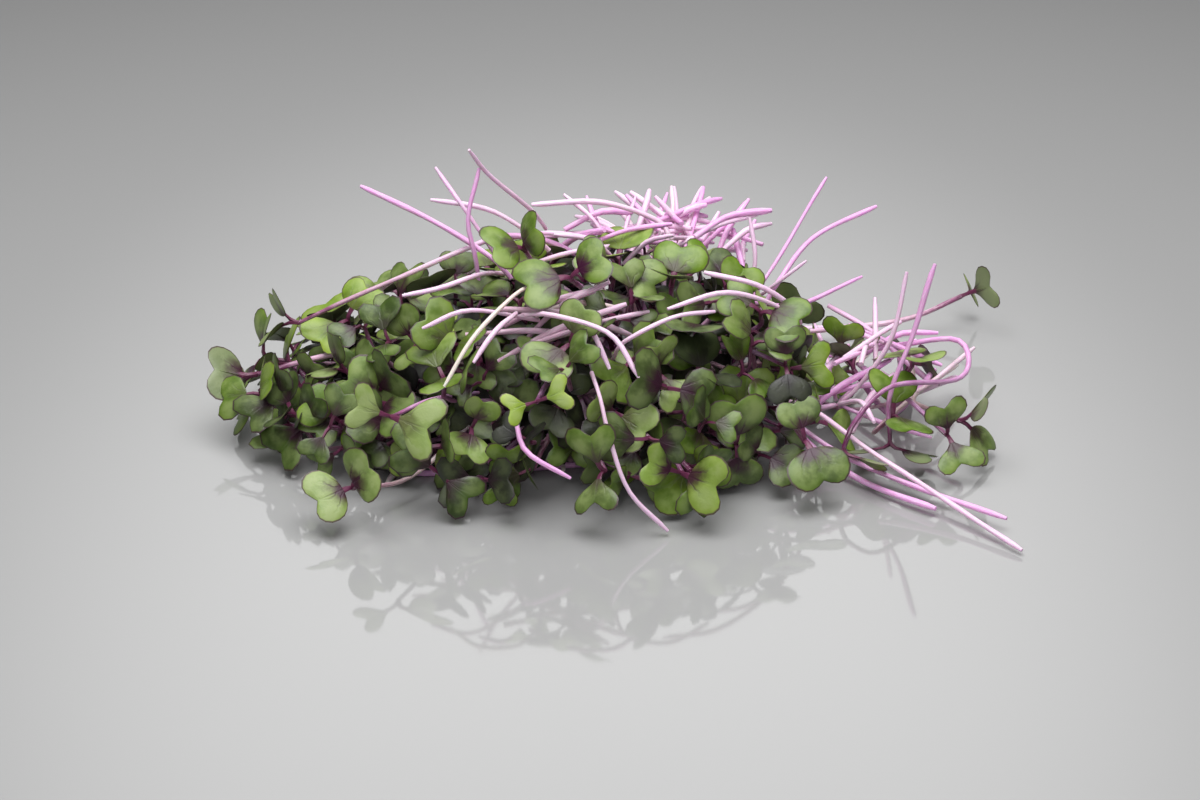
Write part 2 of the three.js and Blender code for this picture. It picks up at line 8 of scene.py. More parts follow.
import bmesh
import bpy
import numpy as np
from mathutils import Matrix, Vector

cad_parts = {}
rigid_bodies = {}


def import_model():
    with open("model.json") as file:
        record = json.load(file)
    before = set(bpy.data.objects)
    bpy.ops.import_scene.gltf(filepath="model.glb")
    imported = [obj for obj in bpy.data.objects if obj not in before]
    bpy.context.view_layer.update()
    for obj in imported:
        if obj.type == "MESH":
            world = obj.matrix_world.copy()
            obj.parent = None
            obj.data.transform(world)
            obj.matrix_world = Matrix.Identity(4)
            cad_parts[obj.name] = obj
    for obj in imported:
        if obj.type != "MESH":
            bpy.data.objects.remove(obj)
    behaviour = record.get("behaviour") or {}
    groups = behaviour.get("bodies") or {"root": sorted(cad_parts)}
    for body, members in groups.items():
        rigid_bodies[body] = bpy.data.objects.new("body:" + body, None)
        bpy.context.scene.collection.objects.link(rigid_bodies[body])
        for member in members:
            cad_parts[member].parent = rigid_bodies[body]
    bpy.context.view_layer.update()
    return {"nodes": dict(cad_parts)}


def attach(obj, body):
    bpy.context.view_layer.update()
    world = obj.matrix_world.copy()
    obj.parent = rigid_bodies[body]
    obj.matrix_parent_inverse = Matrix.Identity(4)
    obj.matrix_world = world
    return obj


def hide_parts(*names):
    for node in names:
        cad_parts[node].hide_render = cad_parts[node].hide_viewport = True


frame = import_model()
print("frame loaded,", len(frame["nodes"]), "nodes")

# The mound of leaves and the few seedlings that lie loose at its right: the point on the
# surface under each, and how far it reaches
mound = {"middle": (1, 0, 0), "left": 84, "right": 53, "depth": 48, "height": 43, "sag": 0.36}
rightMound = {"middle": (63, -8, 0), "left": 16, "right": 17, "depth": 22, "height": 20, "sag": 0}
boxMiddle = (3.43, -3.5, 0)

# How seedlings are laid: how many, at which share of the mound's reach, the room round their
# marks, and how many ways of laying each are compared. The filling lies in and behind the skin
skinRow = {"count": 88, "share": 0.9, "seed": 1, "room": 1.2, "tries": 12}
rightRow = {"count": 7, "share": 0.9, "seed": 301, "room": 1.2, "tries": 12}
filling = [
    {"count": 150, "share": 0.88, "seed": 701, "room": 0.35, "tries": 5},
    {"count": 90, "share": 0.74, "seed": 901, "room": 0.3, "tries": 4},
    {"count": 60, "share": 0.56, "seed": 1101, "room": 0.3, "tries": 3},
]
# A single number is a spread to both sides of 0, and a pair a lowest and a highest value
rule = {
    "bunches": 15, "fillingBunches": 5, "singleSeed": 500,
    "stemRadius": 0.8, "stalkLength": 3.4, "stalkWay": (0.88, 0.48), "leafHalfWidth": (4.9, 6.9),
    "smallerLeaf": (0.74, 0.96), "rise": (4, 38), "foldDroopTwist": ((-0.16, 0.26), (-0.02, 0.2), 0.12),
    "waySpread": (0.08, 0.08, (-0.03, 0.06)), "faceSpread": (0.55, 0.55, (-0.35, 0.55)),
    "neckBelow": 7, "neckInward": 4, "neckSpread": (4, 4, 4), "lowestNeck": 2.2, "leftPull": 0.25,
    "knotReach": 2.2, "knotDepth": 0.42, "knotLift": 5, "lowestKnot": 0.1, "lowestWay": 0.03,
    "farthestShift": 9, "crossingCost": 10, "nearby": 32, "floorClearance": 1.5, "stemRoom": 2.8,
    "stemShare": 0.4, "markRadius": 1.2, "markSpacing": 2,
}
leafMarks = [
    (0, -0.25), (0, 0.3), (0.45, 0.45), (-0.45, 0.45), (0.82, 0.72), (-0.82, 0.72),
    (0.3, 0.82), (-0.3, 0.82), (0.62, 1.08), (-0.62, 1.08), (0, 0.62),
]
# No filling rises over the heap's crest, which falls to both sides from its top and towards the
# back, where mostly cut ends lie. Seedlings of the skin that would rise over it lie lower
crest = {
    "top": 46, "below": 4, "middle": 5, "leftFall": 0.0042, "rightFall": 0.011, "slope": 0.51,
    "backFrom": 14, "backHeight": 12, "right": 46, "mostLower": 8, "lowerWithin": 35, "skin": 0.8,
}

# Single seedlings: the stem's line from the cut end to the fork, the way the pair of leaves
# faces, the way the first leaf points, the angle both rise towards facing, the half-widths of
# the leaves, and their looks: tone from dark to yellow green, wax, purple blush and a darkening towards near
# black
singleKeys = ("line", "face", "along", "rise", "leaves", "look")
singles = {
    "far_left": (
        [(-21, 3, 43), (-44, 1, 33.5), (-66, 0, 23)],
        (-0.96, -0.1, 0.27), (0.15, 0.6, 0.76), 45, (5.2, 5.6), (0.55, 0.55, 0.7, 0),
    ),
    "left_tip": (
        [(-44, 4, 15), (-60, -2, 16), (-75, -5, 13)],
        (-0.93, 0.1, -0.3), (-0.36, -0.5, 0.79), 48, (6.8, 5.0), (0.4, 0.75, 0.9, 0.1),
    ),
    "low_left": (
        [(-28, -24, 10), (-40, -38, 5), (-51, -47, 7.5)],
        (-0.62, -0.25, 0.7), (-0.72, -0.3, -0.6), 38, (6.2, 6.2), (0.48, 0.8, 1, 0),
    ),
    "left_upright": (
        [(-34, -2, 13), (-44, -9, 12), (-54, -14, 17.5)],
        (-0.75, -0.16, 0.64), (0.51, 0.46, 0.72), 50, (5.8, 5.2), (0.35, 0.8, 0.95, 0.15),
    ),
    "top_left": (
        [(-6, 6, 27), (-12, -2, 35), (-16, -6, 43)],
        (-0.68, 0.28, 0.68), (0.09, -0.89, 0.45), 48, (6.2, 5.4), (0.45, 0.0, 0.75, 0.1),
    ),
    "far_right": (
        [(42, 36, 4), (62, 40, 3.2), (74, 42, 4.6), (85, 45, 8.5)],
        (0.9, 0.35, 0.25), (0.35, -0.8, 0.5), 30, (5.2, 4.4), (0.6, 0.9, 0.8, 0),
    ),
    "right_pair": (
        [(62, 24, 4), (57, 14, 6), (53, 5, 13.5)],
        (-0.1, -0.9, 0.35), (0.2, 0.35, 0.9), 22, (4.8, 4.4), (0.58, 0.15, 0.6, 0),
    ),
    "hanging": (
        [(71, -14, 43.5), (66, -18, 28), (62, -23, 16), (62, -26, 7.5)],
        (0, -0.35, -0.93), (0.95, -0.3, 0.1), 8, (5.6, 5.0), (0.4, 0.1, 0.9, 0.1),
    ),
    "looped": (
        [
            (52, 18, 6), (66, 9, 13), (78, 3, 17.5), (80.5, -4, 16),
            (77, -12, 15), (62, -25, 20), (54, -31, 15), (51.5, -33, 9.5),
        ],
        (-0.1, -0.5, -0.85), (0.95, -0.1, -0.05), 6, (5.4, 5.0), (0.6, 0.2, 0.9, 0),
    ),
    "rightmost": (
        [(57, 2, 12), (65, -13, 12.5), (74, -25, 8.5)],
        (0.17, -0.9, 0.38), (-0.28, 0.28, 0.92), 32, (5.0, 5.4), (0.42, 0.3, 0.8, 0.03),
    ),
    "front_right": (
        [(28, -14, 17), (37, -24, 17), (43, -35, 12)],
        (0.1, -0.7, 0.7), (0.35, -0.75, -0.55), 16, (7.0, 5.0), (0.34, 0.25, 1, 0.1),
    ),
    "front_bright": (
        [(6, -20, 17), (12, -34, 15), (17, -46, 10.5)],
        (-0.2, -0.85, 0.45), (0.95, -0.25, -0.25), 24, (6.4, 4.8), (0.62, 0.35, 0.85, 0),
    ),
    "front_middle": (
        [(-4, -22, 15), (-2, -36, 14), (1, -48, 12)],
        (-0.5, -0.75, 0.42), (-0.1, 0.46, 0.88), 30, (6.0, 5.4), (0.35, 0.3, 0.6, 0.1),
    ),
    "small_clover": (
        [(-10, -22, 20), (-12, -34, 24), (-13, -46, 27)],
        (0, -0.85, 0.5), (0.9, 0.1, 0.3), 18, (3.9, 3.6), (0.7, 0.1, 0.1, 0),
    ),
    "dark_pair": (
        [(22, -8, 22), (32, -16, 24), (39, -25, 25)],
        (0.2, -0.75, 0.6), (0.95, 0.2, -0.1), 22, (4.8, 4.6), (0.2, 0.4, 0.8, 0.9),
    ),
    "pale_front": (
        [(-26, -20, 16), (-36, -32, 20), (-43, -43, 22)],
        (0, -0.8, 0.6), (0.2, -0.7, -0.65), 20, (6.8, 5.0), (0.7, 0.9, 0.55, 0),
    ),
    "big_top": (
        [(0, -6, 28), (-3, -14, 37), (-6, -22, 43.5)],
        (-0.2, -0.55, 0.8), (-0.9, -0.3, -0.1), 20, (7.2, 5.8), (0.38, 0.2, 1, 0.1),
    ),
}
# Four pairs turn further towards the light than their solids: how they face and their first leaf
turnedPairs = {
    "low_left": ((-0.3, -0.8, 0.55), (-0.7, 0.1, -0.65)),
    "top_left": ((-0.3, -0.65, 0.7), (-0.9, -0.2, -0.35)),
    "dark_pair": ((0.1, -0.85, 0.5), (0.1, -0.5, -0.85)),
    "pale_front": ((-0.1, -0.85, 0.5), (0.95, -0.3, -0.2)),
}
singleTones = {"far_left": [0.33]}

# Bundles of stems whose leaves are buried: where the stems cross, how violet each stem is, and
# its line from its cut end inwards
bundles = {
    "top_left_sticks": {
        "knot": (-20, 2, 34), "tones": (0.75, 0.6, 0.5, 0.85, 0.5, 0.4),
        "lines": [
            [(-53, 20, 47), (-36, 7, 44), (-24, -2, 40)], [(-36, 14, 54), (-29, 7, 46)],
            [(-37, 10, 48), (-24, 7, 47), (-16, 5, 43)], [(-26, 4, 58), (-28, 0, 48), (-27, -2, 41)],
            [(-28, 2, 63), (-24, 5, 56), (-15, 9, 46)], [(-42, -16, 37), (-34, -14, 38), (-26, -8, 38)],
        ],
    },
    "top_arch_sticks": {
        "knot": (4, 6, 33), "tones": (0.35, 0.5, 0.7, 0.6, 0.3, 0.25),
        "lines": [
            [(-15, 12, 46), (1, 12, 46.5), (14, 12, 41), (14, 8, 36)], [(-8, 20, 45), (-1, 14, 41)],
            [(-3, 26, 42), (-1, 18, 39)], [(8, 28, 41), (6, 18, 39)],
            [(-10, -2, 45), (-2, 0, 43), (2, 3, 38)], [(16, 0, 44), (10, 3, 41)],
        ],
    },
    "middle_sticks": {
        "knot": (-12, -20, 33), "tones": (0.02, 0.38, 0.4, 0.3, 0.35),
        "lines": [
            [(-32, -43, 29), (-26, -37, 37), (-18, -28, 42.5)],
            [(8, -43, 31), (2, -37, 38), (-10, -32, 40)], [(-37, -30, 36), (-27, -28, 39)],
            [(-26, -40, 33), (-21, -34, 38)], [(2, -37, 30), (-2, -32, 36)],
        ],
    },
    "middle_right_sticks": {
        "knot": (20, -14, 30), "tones": (0.3, 0.42, 0.36),
        "lines": [
            [(24, -26, 38), (15, -32, 39.5), (5, -35, 35.5), (3, -29, 29)],
            [(22, -15, 42), (34, -16, 39), (43, -12, 29), (36, -10, 24)],
            [(14, -29, 40), (27, -23, 41), (40, -17, 33), (40, -14, 25)],
        ],
    },
    "top_right_sticks": {
        "knot": (33, 6, 25), "tones": (0.8, 0.9, 0.75, 0.5, 0.45), "girth": (0.5, 0.5),
        "lines": [
            [(51, 30, 45), (42, 19, 34)], [(62, 25, 40), (47, 14, 37), (39, 4, 31)],
            [(59, 20, 25), (45, 12, 22)], [(33, 14, 42), (34, 10, 34)], [(45, 2, 37), (39, 2, 32)],
        ],
    },
    "right_sticks": {
        "knot": (52, -8, 7), "tones": (0.5, 0.7, 0.6, 0.7, 0.45, 0.55),
        "lines": [
            [(66, -6, 38), (63, -10, 24), (56, -10, 12)], [(71, 12, 13), (61, 3, 10)],
            [(48, 12, 17), (50, 3, 13)], [(72, -17, 3.5), (62, -13, 5)],
            [(58, -30, 14), (56, -19, 13)], [(44, -20, 12), (48, -14, 9)],
        ],
    },
    "front_right_sticks": {
        "knot": (39, -18, 10), "tones": (0.5, 0.7, 0.75), "girth": (0.68, 0.58),
        "lines": [
            [(86, -62, 1.2), (72, -46, 4), (58, -33, 8), (46, -27, 15)],
            [(84, -52, 3), (66, -37, 2.6), (52, -26, 4)], [(70, -46, 2), (56, -34, 1.8), (47, -25, 4)],
        ],
    },
    "front_sticks": {
        "knot": (-5, -34, 22), "tones": (0.5, 0.75), "girth": (0.53, 0.47),
        "lines": [
            [(14, -54, 1.2), (6, -53, 10), (2, -49, 20), (0, -44, 27)],
            [(-6, -53, 13), (-15, -51, 18), (-17, -43, 20)],
        ],
    },
}
# The fan at the back, whose stems leave a wide knot side by side
backFanRow = {
    "knot": (14, 25, 26), "knotReach": (10, 3.5, 5), "rootSpread": (0.75, 0, 0.4), "count": 18,
    "levels": 5, "length": (24, 32), "aside": 0.4, "asideSpread": (-0.25, 0.25), "levelRise": 0.12,
    "up": (-0.32, 0.42), "bendAside": (-2, 2), "bendUp": (0, 2.5), "seed": 74,
    "tones": [0.5 + 0.3 * (n % 3 - 1) for n in range(18)],
}


def vec(*numbers):
    return np.array(numbers, float)


def unit(way):
    return way / np.linalg.norm(way)


def squareTo(way, other):
    return unit(way - other * way.dot(other))


def toMetres(points):
    return (np.asarray(points, float) - vec(*boxMiddle)) * 0.001


# A draw that gives the same numbers on every machine
def seededDraw(seed):
    state = (seed * 2654435761) & 0xFFFFFFFF

    def step():
        nonlocal state
        state = (state * 1664525 + 1013904223) & 0xFFFFFFFF
        return state / 4294967296

    step()
    return lambda low, high: low + (high - low) * step()


def drawVec(draw, *spreads):
    return vec(*(draw(*row) if isinstance(row, tuple) else draw(-row, row) for row in spreads))


# Points on a smooth curve through a line of points
def curveAt(line, places):
    points = np.asarray(line, float)
    padded = np.vstack([2 * points[0] - points[1], points, 2 * points[-1] - points[-2]])
    spot = np.clip(np.asarray(places, float), 0, 1) * (len(points) - 1)
    first = np.minimum(spot.astype(int), len(points) - 2)
    w = (spot - first)[:, None]
    p0, p1, p2, p3 = (padded[first + i] for i in range(4))
    t0, t1 = (p2 - p0) / 2, (p3 - p1) / 2
    return p1 + t0 * w + (3 * (p2 - p1) - 2 * t0 - t1) * w**2 + (2 * (p1 - p2) + t0 + t1) * w**3


curvePlaces = np.linspace(0, 1, 201)


def curveGaps(line):
    return np.linalg.norm(np.diff(curveAt(line, curvePlaces), axis=0), axis=1)


def curveLength(line):
    return curveGaps(line).sum()


# Points by shares of the curve's length
def spacedAlong(line, shares):
    lengths = np.concatenate([[0], np.cumsum(curveGaps(line))])
    return curveAt(line, np.interp(np.asarray(shares) * lengths[-1], lengths, curvePlaces))


def marksAlong(line, share):
    count = max(1, ceil(curveLength(line) * share / rule["markSpacing"]))
    return spacedAlong(line, 1 - share * np.arange(count + 1) / count)


# The frame of one seed leaf: y runs from its stalk to its notch and z out of its upper face
def leafFrame(plant, k):
    out = plant["along"] * (1 if k == 0 else -1)
    turn = radians(plant["rise"])
    y = out * cos(turn) + plant["face"] * sin(turn)
    z = plant["face"] * cos(turn) - out * sin(turn)
    ahead, up = rule["stalkWay"]
    base = plant["line"][-1] + (ahead * y + up * z) * rule["stalkLength"]
    return base, np.cross(y, z), y, z


def leafHeight(shape, x, y):
    fold, droop, twist = shape
    return fold * np.abs(x) ** 1.5 - droop * y * y + twist * x * y


# Marks on both leaves and along a share of the stem
def marksOf(plant, stemShare):
    x, y = np.array(leafMarks, float).T
    marks = []
    for k in (0, 1):
        base, right, ahead, up = leafFrame(plant, k)
        height = leafHeight(plant["shapes"][k], x, y)
        spots = np.outer(x, right) + np.outer(y, ahead) + np.outer(height, up)
        marks.append(base + plant["leaves"][k] * spots)
    return np.vstack(marks + [marksAlong(plant["line"], stemShare)])


# How far a seedling has to be moved along a way so that its marks meet none that lie there
def freeShift(marks, way, lying, radii, room):
    farthest = rule["farthestShift"]
    middle = (lying @ way)[None] - (marks @ way)[:, None]
    apart = (marks**2).sum(1)[:, None] + (lying**2).sum(1)[None] - 2 * marks @ lying.T
    room = (room + radii) ** 2 + middle**2 - apart
    hit = room > 0
    half = np.sqrt(room[hit])
    low, high = middle[hit] - half, middle[hit] + half
    near = (low < farthest) & (high > -farthest)
    low, high = low[near], high[near]
    ends = np.concatenate([[0.0], np.stack([low, high], 1).ravel()])
    ends = ends[np.abs(ends) < farthest]
    for shift in ends[np.argsort(np.abs(ends), kind="stable")]:
        if not np.any((shift > low + 1e-9) & (shift < high - 1e-9)):
            return shift
    return inf


def leafShapes(draw):
    return [drawVec(draw, *rule["foldDroopTwist"]) for _ in (0, 1)]


# A way spread evenly over the upper half of a ball and drawn towards the long left end
def spreadOverDome(i, count, lowest):
    z = 1 - ((i + 0.5) / count) * (1 - lowest)
    golden = i * pi * (3 - sqrt(5))
    turn = golden + rule["leftPull"] * sin(golden)
    r = sqrt(1 - z * z)
    return vec(r * cos(turn), r * sin(turn), z)


def reachTowards(way, shape):
    height = shape["height"] * (1 - shape["sag"] * max(0, -way[0]))
    return vec(shape["left"] if way[0] < 0 else shape["right"], shape["depth"], height)


def pointInMound(way, share, shape):
    return way * reachTowards(way, shape) * share + vec(*shape["middle"])


def endInKnot(line, knot):
    way = unit(line[-1] - knot) * rule["knotReach"] * 0.5
    return list(line) + [knot + way]


class Lying:
    # What lies in the heap: marks with their radii, and marks on stems with their bunch
    def __init__(self):
        self.points, self.radii = np.zeros((0, 3)), np.zeros(0)
        self.stems, self.owners = np.zeros((0, 3)), np.zeros(0, int)

    def add(self, points, radius):
        self.points = np.vstack([self.points, points])
        self.radii = np.concatenate([self.radii, np.full(len(points), radius)])

    def addStem(self, line, radius, owner=-1):
        points = marksAlong(line, 1)
        self.add(points, radius)
        self.stems = np.vstack([self.stems, points])
        self.owners = np.concatenate([self.owners, np.full(len(points), owner)])


# One way of laying a seedling of a mound: how good it is, and the seedling
def layOne(draw, way, row, shape, knot, owner, lying):
    outward = unit(way / reachTowards(way, shape))
    fork = pointInMound(way, row["share"], shape)
    face = unit(outward + drawVec(draw, *rule["faceSpread"]))
    along = squareTo(drawVec(draw, 1, 1, 1), face)
    size = draw(*rule["leafHalfWidth"])
    bend = drawVec(draw, *rule["neckSpread"])
    neck = fork - rule["neckBelow"] * face - rule["neckInward"] * outward + bend
    plant = {"line": [neck, fork], "face": face, "along": along, "rise": draw(*rule["rise"]), "knot": knot}
    plant["leaves"] = (size, size * draw(*rule["smallerLeaf"]))
    plant["shapes"] = leafShapes(draw)
    marks = marksOf(plant, rule["stemShare"])
    near = np.linalg.norm(lying.points - fork, axis=1) < rule["nearby"]
    moved = freeShift(marks, outward, lying.points[near], lying.radii[near], row["room"])
    shift = outward * (moved if isfinite(moved) else 0)
    lowest = marks[:, 2].min() + shift[2] - rule["markRadius"]
    if lowest < rule["floorClearance"]:
        shift[2] += rule["floorClearance"] - lowest
    neck, fork = neck + shift, fork + shift
    neck[2] = max(neck[2], rule["lowestNeck"])
    plant["line"] = endInKnot([fork, neck], knot)[::-1]
    stem = marksAlong(plant["line"], 1)
    others = lying.stems[lying.owners != owner]
    meets = np.linalg.norm(stem[:, None] - others[None], axis=2) < rule["stemRoom"]
    return -abs(moved) - rule["crossingCost"] * meets.any(1).sum(), plant


def aboveCrest(plant):
    x, y, z = marksOf(plant, 0).T
    steepness = np.where(x < crest["middle"], crest["leftFall"], crest["rightFall"])
    fall = steepness * (x - crest["middle"]) ** 2
    return np.max(z + y * crest["slope"] - crest["top"] + fall)


def overCrest(plant, share):
    x, y, z = plant["line"][-1]
    behind = share > crest["skin"] and y > crest["backFrom"] and z > crest["backHeight"]
    return behind or x > crest["right"] or aboveCrest(plant) > -crest["below"]


# A mound's seedlings are laid one by one, each moved in or out until it is clear of the others
def layMound(shape, names, row, lying, firstOwner):
    ways = [spreadOverDome(k, len(names), rule["lowestKnot"]) for k in range(len(names))]
    lift = vec(0, 0, rule["knotLift"])
    knots = [pointInMound(way, rule["knotDepth"], shape) + lift for way in ways]
    bunches = {name: [] for name in names}
    for i in range(row["count"]):
        draw = seededDraw(row["seed"] + i)
        way = unit(spreadOverDome(i, row["count"], rule["lowestWay"]) + drawVec(draw, *rule["waySpread"]))
        k = max(range(len(names)), key=lambda n: ways[n].dot(way))
        given = draw, way, row, shape, knots[k], firstOwner + k, lying
        laid = [layOne(*given) for _ in range(row["tries"])]
        worth, plant = max(laid, key=lambda one: one[0])
        if not isfinite(worth) or (row in filling and overCrest(plant, row["share"])):
            continue
        bunches[names[k]].append(plant)
        lying.add(marksOf(plant, 0), row["room"])
        lying.addStem(plant["line"], rule["stemRadius"] * row["room"] / rule["markRadius"], firstOwner + k)
    return bunches


def backLines():
    row = backFanRow
    draw = seededDraw(row["seed"])
    lines = []
    for i in range(row["count"]):
        across = 2 * (i + 0.5) / row["count"] - 1
        level = (i * 2) % row["levels"] / 2 - 1
        spread = vec(across, 0, level) * vec(*row["rootSpread"])
        root = spread * vec(*row["knotReach"]) + vec(*row["knot"])
        aside = across * row["aside"] + draw(*row["asideSpread"])
        way = unit(vec(aside, 1, level * row["levelRise"] + draw(*row["up"])))
        end = root + way * draw(*row["length"])
        middle = (root + end) / 2 + vec(draw(*row["bendAside"]), 0, draw(*row["bendUp"]))
        lines.append([end, middle, root])
    return lines


def layHeap():
    lying = Lying()
    loose, sticks = {}, {}
    for i, (name, values) in enumerate(singles.items()):
        plant = dict(zip(singleKeys, values))
        face = unit(vec(*plant["face"]))
        plant.update(face=face, along=squareTo(vec(*plant["along"]), face))
        plant["line"] = [vec(*point) for point in plant["line"]]
        plant["shapes"] = leafShapes(seededDraw(rule["singleSeed"] + i))
        loose[name] = plant
        lying.add(marksOf(plant, 0), rule["markRadius"])
        lying.addStem(plant["line"], rule["markRadius"])
    for name, row in bundles.items():
        knot = vec(*row["knot"])
        sticks[name] = [endInKnot([vec(*point) for point in line], knot) for line in row["lines"]]
    sticks["back_sticks"] = backLines()
    for line in sum(sticks.values(), []):
        lying.addStem(line, rule["stemRadius"])
    tufts = layMound(rightMound, ["right_bunch"], rightRow, lying, 0)
    names = [f"leafy_bunch_{k + 1:02d}" for k in range(rule["bunches"])]
    tufts.update(layMound(mound, names, skinRow, lying, 1))
    inner = {}
    for n, row in enumerate(filling):
        names = [f"inner_{n + 1}_{k + 1:02d}" for k in range(rule["fillingBunches"])]
        firstOwner = rule["bunches"] + rule["fillingBunches"] * (n + 1)
        inner.update(layMound(mound, names, row, lying, firstOwner))
    return loose, sticks, tufts, inner


loose, sticks, tufts, inner = layHeap()
print("laid", sum(map(len, tufts.values())), "seedlings in bunches")
print("laid", sum(map(len, inner.values())), "between them")


# A socket that can be reckoned with: each sum, product and so on becomes a math node
class Field:
    def __init__(self, socket):
        self.socket, self.tree = socket, socket.id_data

    def __add__(self, other):
        return maths("ADD", self, other)

    def __sub__(self, other):
        return maths("SUBTRACT", self, other)

    def __rsub__(self, other):
        return maths("SUBTRACT", other, self)

    def __mul__(self, other):
        return maths("MULTIPLY", self, other)

    def __pow__(self, other):
        return maths("POWER", self, other)

    def __abs__(self):
        return maths("ABSOLUTE", self)

    def clamped(self):
        self.socket.node.use_clamp = True
        return self


# An input socket is linked to a field or set to a value
def plug(socket, value):
    if isinstance(value, Field):
        socket.id_data.links.new(value.socket, socket)
    else:
        socket.default_value = value


def place(tree, kind, inputs=None, **settings):
    node = tree.nodes.new(kind)
    for name, value in settings.items():
        setattr(node, name, value)
    for key, value in (inputs or {}).items():
        plug(node.inputs[key], value)
    return node


def field(tree, kind, inputs=None, output=0, **settings):
    return Field(place(tree, kind, inputs, **settings).outputs[output])


def maths(operation, *values):
    tree = next(value.tree for value in values if isinstance(value, Field))
    return field(tree, "ShaderNodeMath", dict(enumerate(values)), operation=operation)


def scaled(vector, factor):
    return field(vector.tree, "ShaderNodeVectorMath", {0: vector, "Scale": factor}, operation="SCALE")


def added(vector, other):
    return field(vector.tree, "ShaderNodeVectorMath", {0: vector, 1: other}, operation="ADD")


def named(tree, *names, kind="FLOAT"):
    for name in names:
        yield field(tree, "GeometryNodeInputNamedAttribute", {"Name": name}, "Attribute", data_type=kind)


# One step of a geometry's way through its tree
def step(kind, geometry, inputs=None, **settings):
    return field(geometry.tree, "GeometryNode" + kind, {0: geometry, **(inputs or {})}, **settings)


# A tree with its inputs and outputs by name and kind. An input may also have a value
def newTree(name, kind, inputs, outputs):
    tree = bpy.data.node_groups.new(name, kind)
    for way, rows in (("INPUT", inputs), ("OUTPUT", outputs)):
        for label, (socketKind, *value) in rows.items():
            socket = tree.interface.new_socket(label, in_out=way, socket_type="NodeSocket" + socketKind)
            if value:
                socket.default_value = value[0]
    given = {socket.name: Field(socket) for socket in place(tree, "NodeGroupInput").outputs}
    return tree, given, place(tree, "NodeGroupOutput").inputs


def newObject(name, data):
    made = bpy.data.objects.new(name, data)
    bpy.context.scene.collection.objects.link(made)
    return made


# Outlines of one lobe of a seed leaf for a half-width of 1, from where the stalk ends to the
# notch, and how wide the left lobe is beside the right one. The last ones are for inner leaves
leafForms = {
    "broad": {"left": 0.95, "lobe": [
        (0.12, 0), (0.44, 0.12), (0.86, 0.4), (1.03, 0.84),
        (0.84, 1.2), (0.5, 1.29), (0.18, 1.1), (0, 1),
    ]},
    "kidney": {"left": 0.88, "lobe": [
        (0.12, 0), (0.56, 0.08), (0.98, 0.4), (1.04, 0.86),
        (0.78, 1.17), (0.42, 1.2), (0.14, 1.05), (0, 0.97),
    ]},
    "fan": {"left": 1.0, "lobe": [
        (0.11, 0), (0.34, 0.24), (0.76, 0.52), (1.02, 0.9),
        (0.86, 1.26), (0.5, 1.28), (0.19, 1.06), (0, 0.95),
    ]},
    "round": {"left": 0.93, "lobe": [
        (0.12, 0), (0.54, 0.1), (0.95, 0.42), (1.02, 0.86),
        (0.76, 1.2), (0.38, 1.25), (0.12, 1.13), (0, 1.06),
    ]},
    "innerBroad": {"left": 0.95, "lobe": [
        (0.12, 0), (0.5, 0.12), (0.95, 0.42), (1.02, 0.88),
        (0.8, 1.2), (0.44, 1.25), (0.15, 1.06), (0, 0.98),
    ]},
    "innerFan": {"left": 0.9, "lobe": [
        (0.12, 0), (0.36, 0.2), (0.8, 0.5), (1.0, 0.9),
        (0.8, 1.22), (0.46, 1.24), (0.16, 1.04), (0, 0.95),
    ]},
}
fineForms = 4
# The last rows are the rings of the stalk and of the rib that it becomes under the leaf: how far
# down the stalk, how far along the leaf, width and thickness
leafBuild = {
    "fineSteps": 11, "innerSteps": 7, "fineSides": 5, "innerSides": 4,
    "midThick": 0.034, "rimThick": 0.02, "rimWidth": 0.085, "dome": 0.035, "halfway": 0.52,
    "notchGap": 0.14, "gather": 0.9, "ribLift": -0.03, "ribTurn": 0.25, "stalkUpTo": 0.2, "ribTint": 0.4,
    "rings": [
        (1, 0, 0.1, 0.1), (0.66, 0, 0.088, 0.088), (0.33, 0, 0.088, 0.08), (0, 0.03, 0.125, 0.06),
        (0, 0.24, 0.07, 0.05), (0, 0.52, 0.04, 0.04), (0, 0.8, 0.012, 0.012),
    ],
}


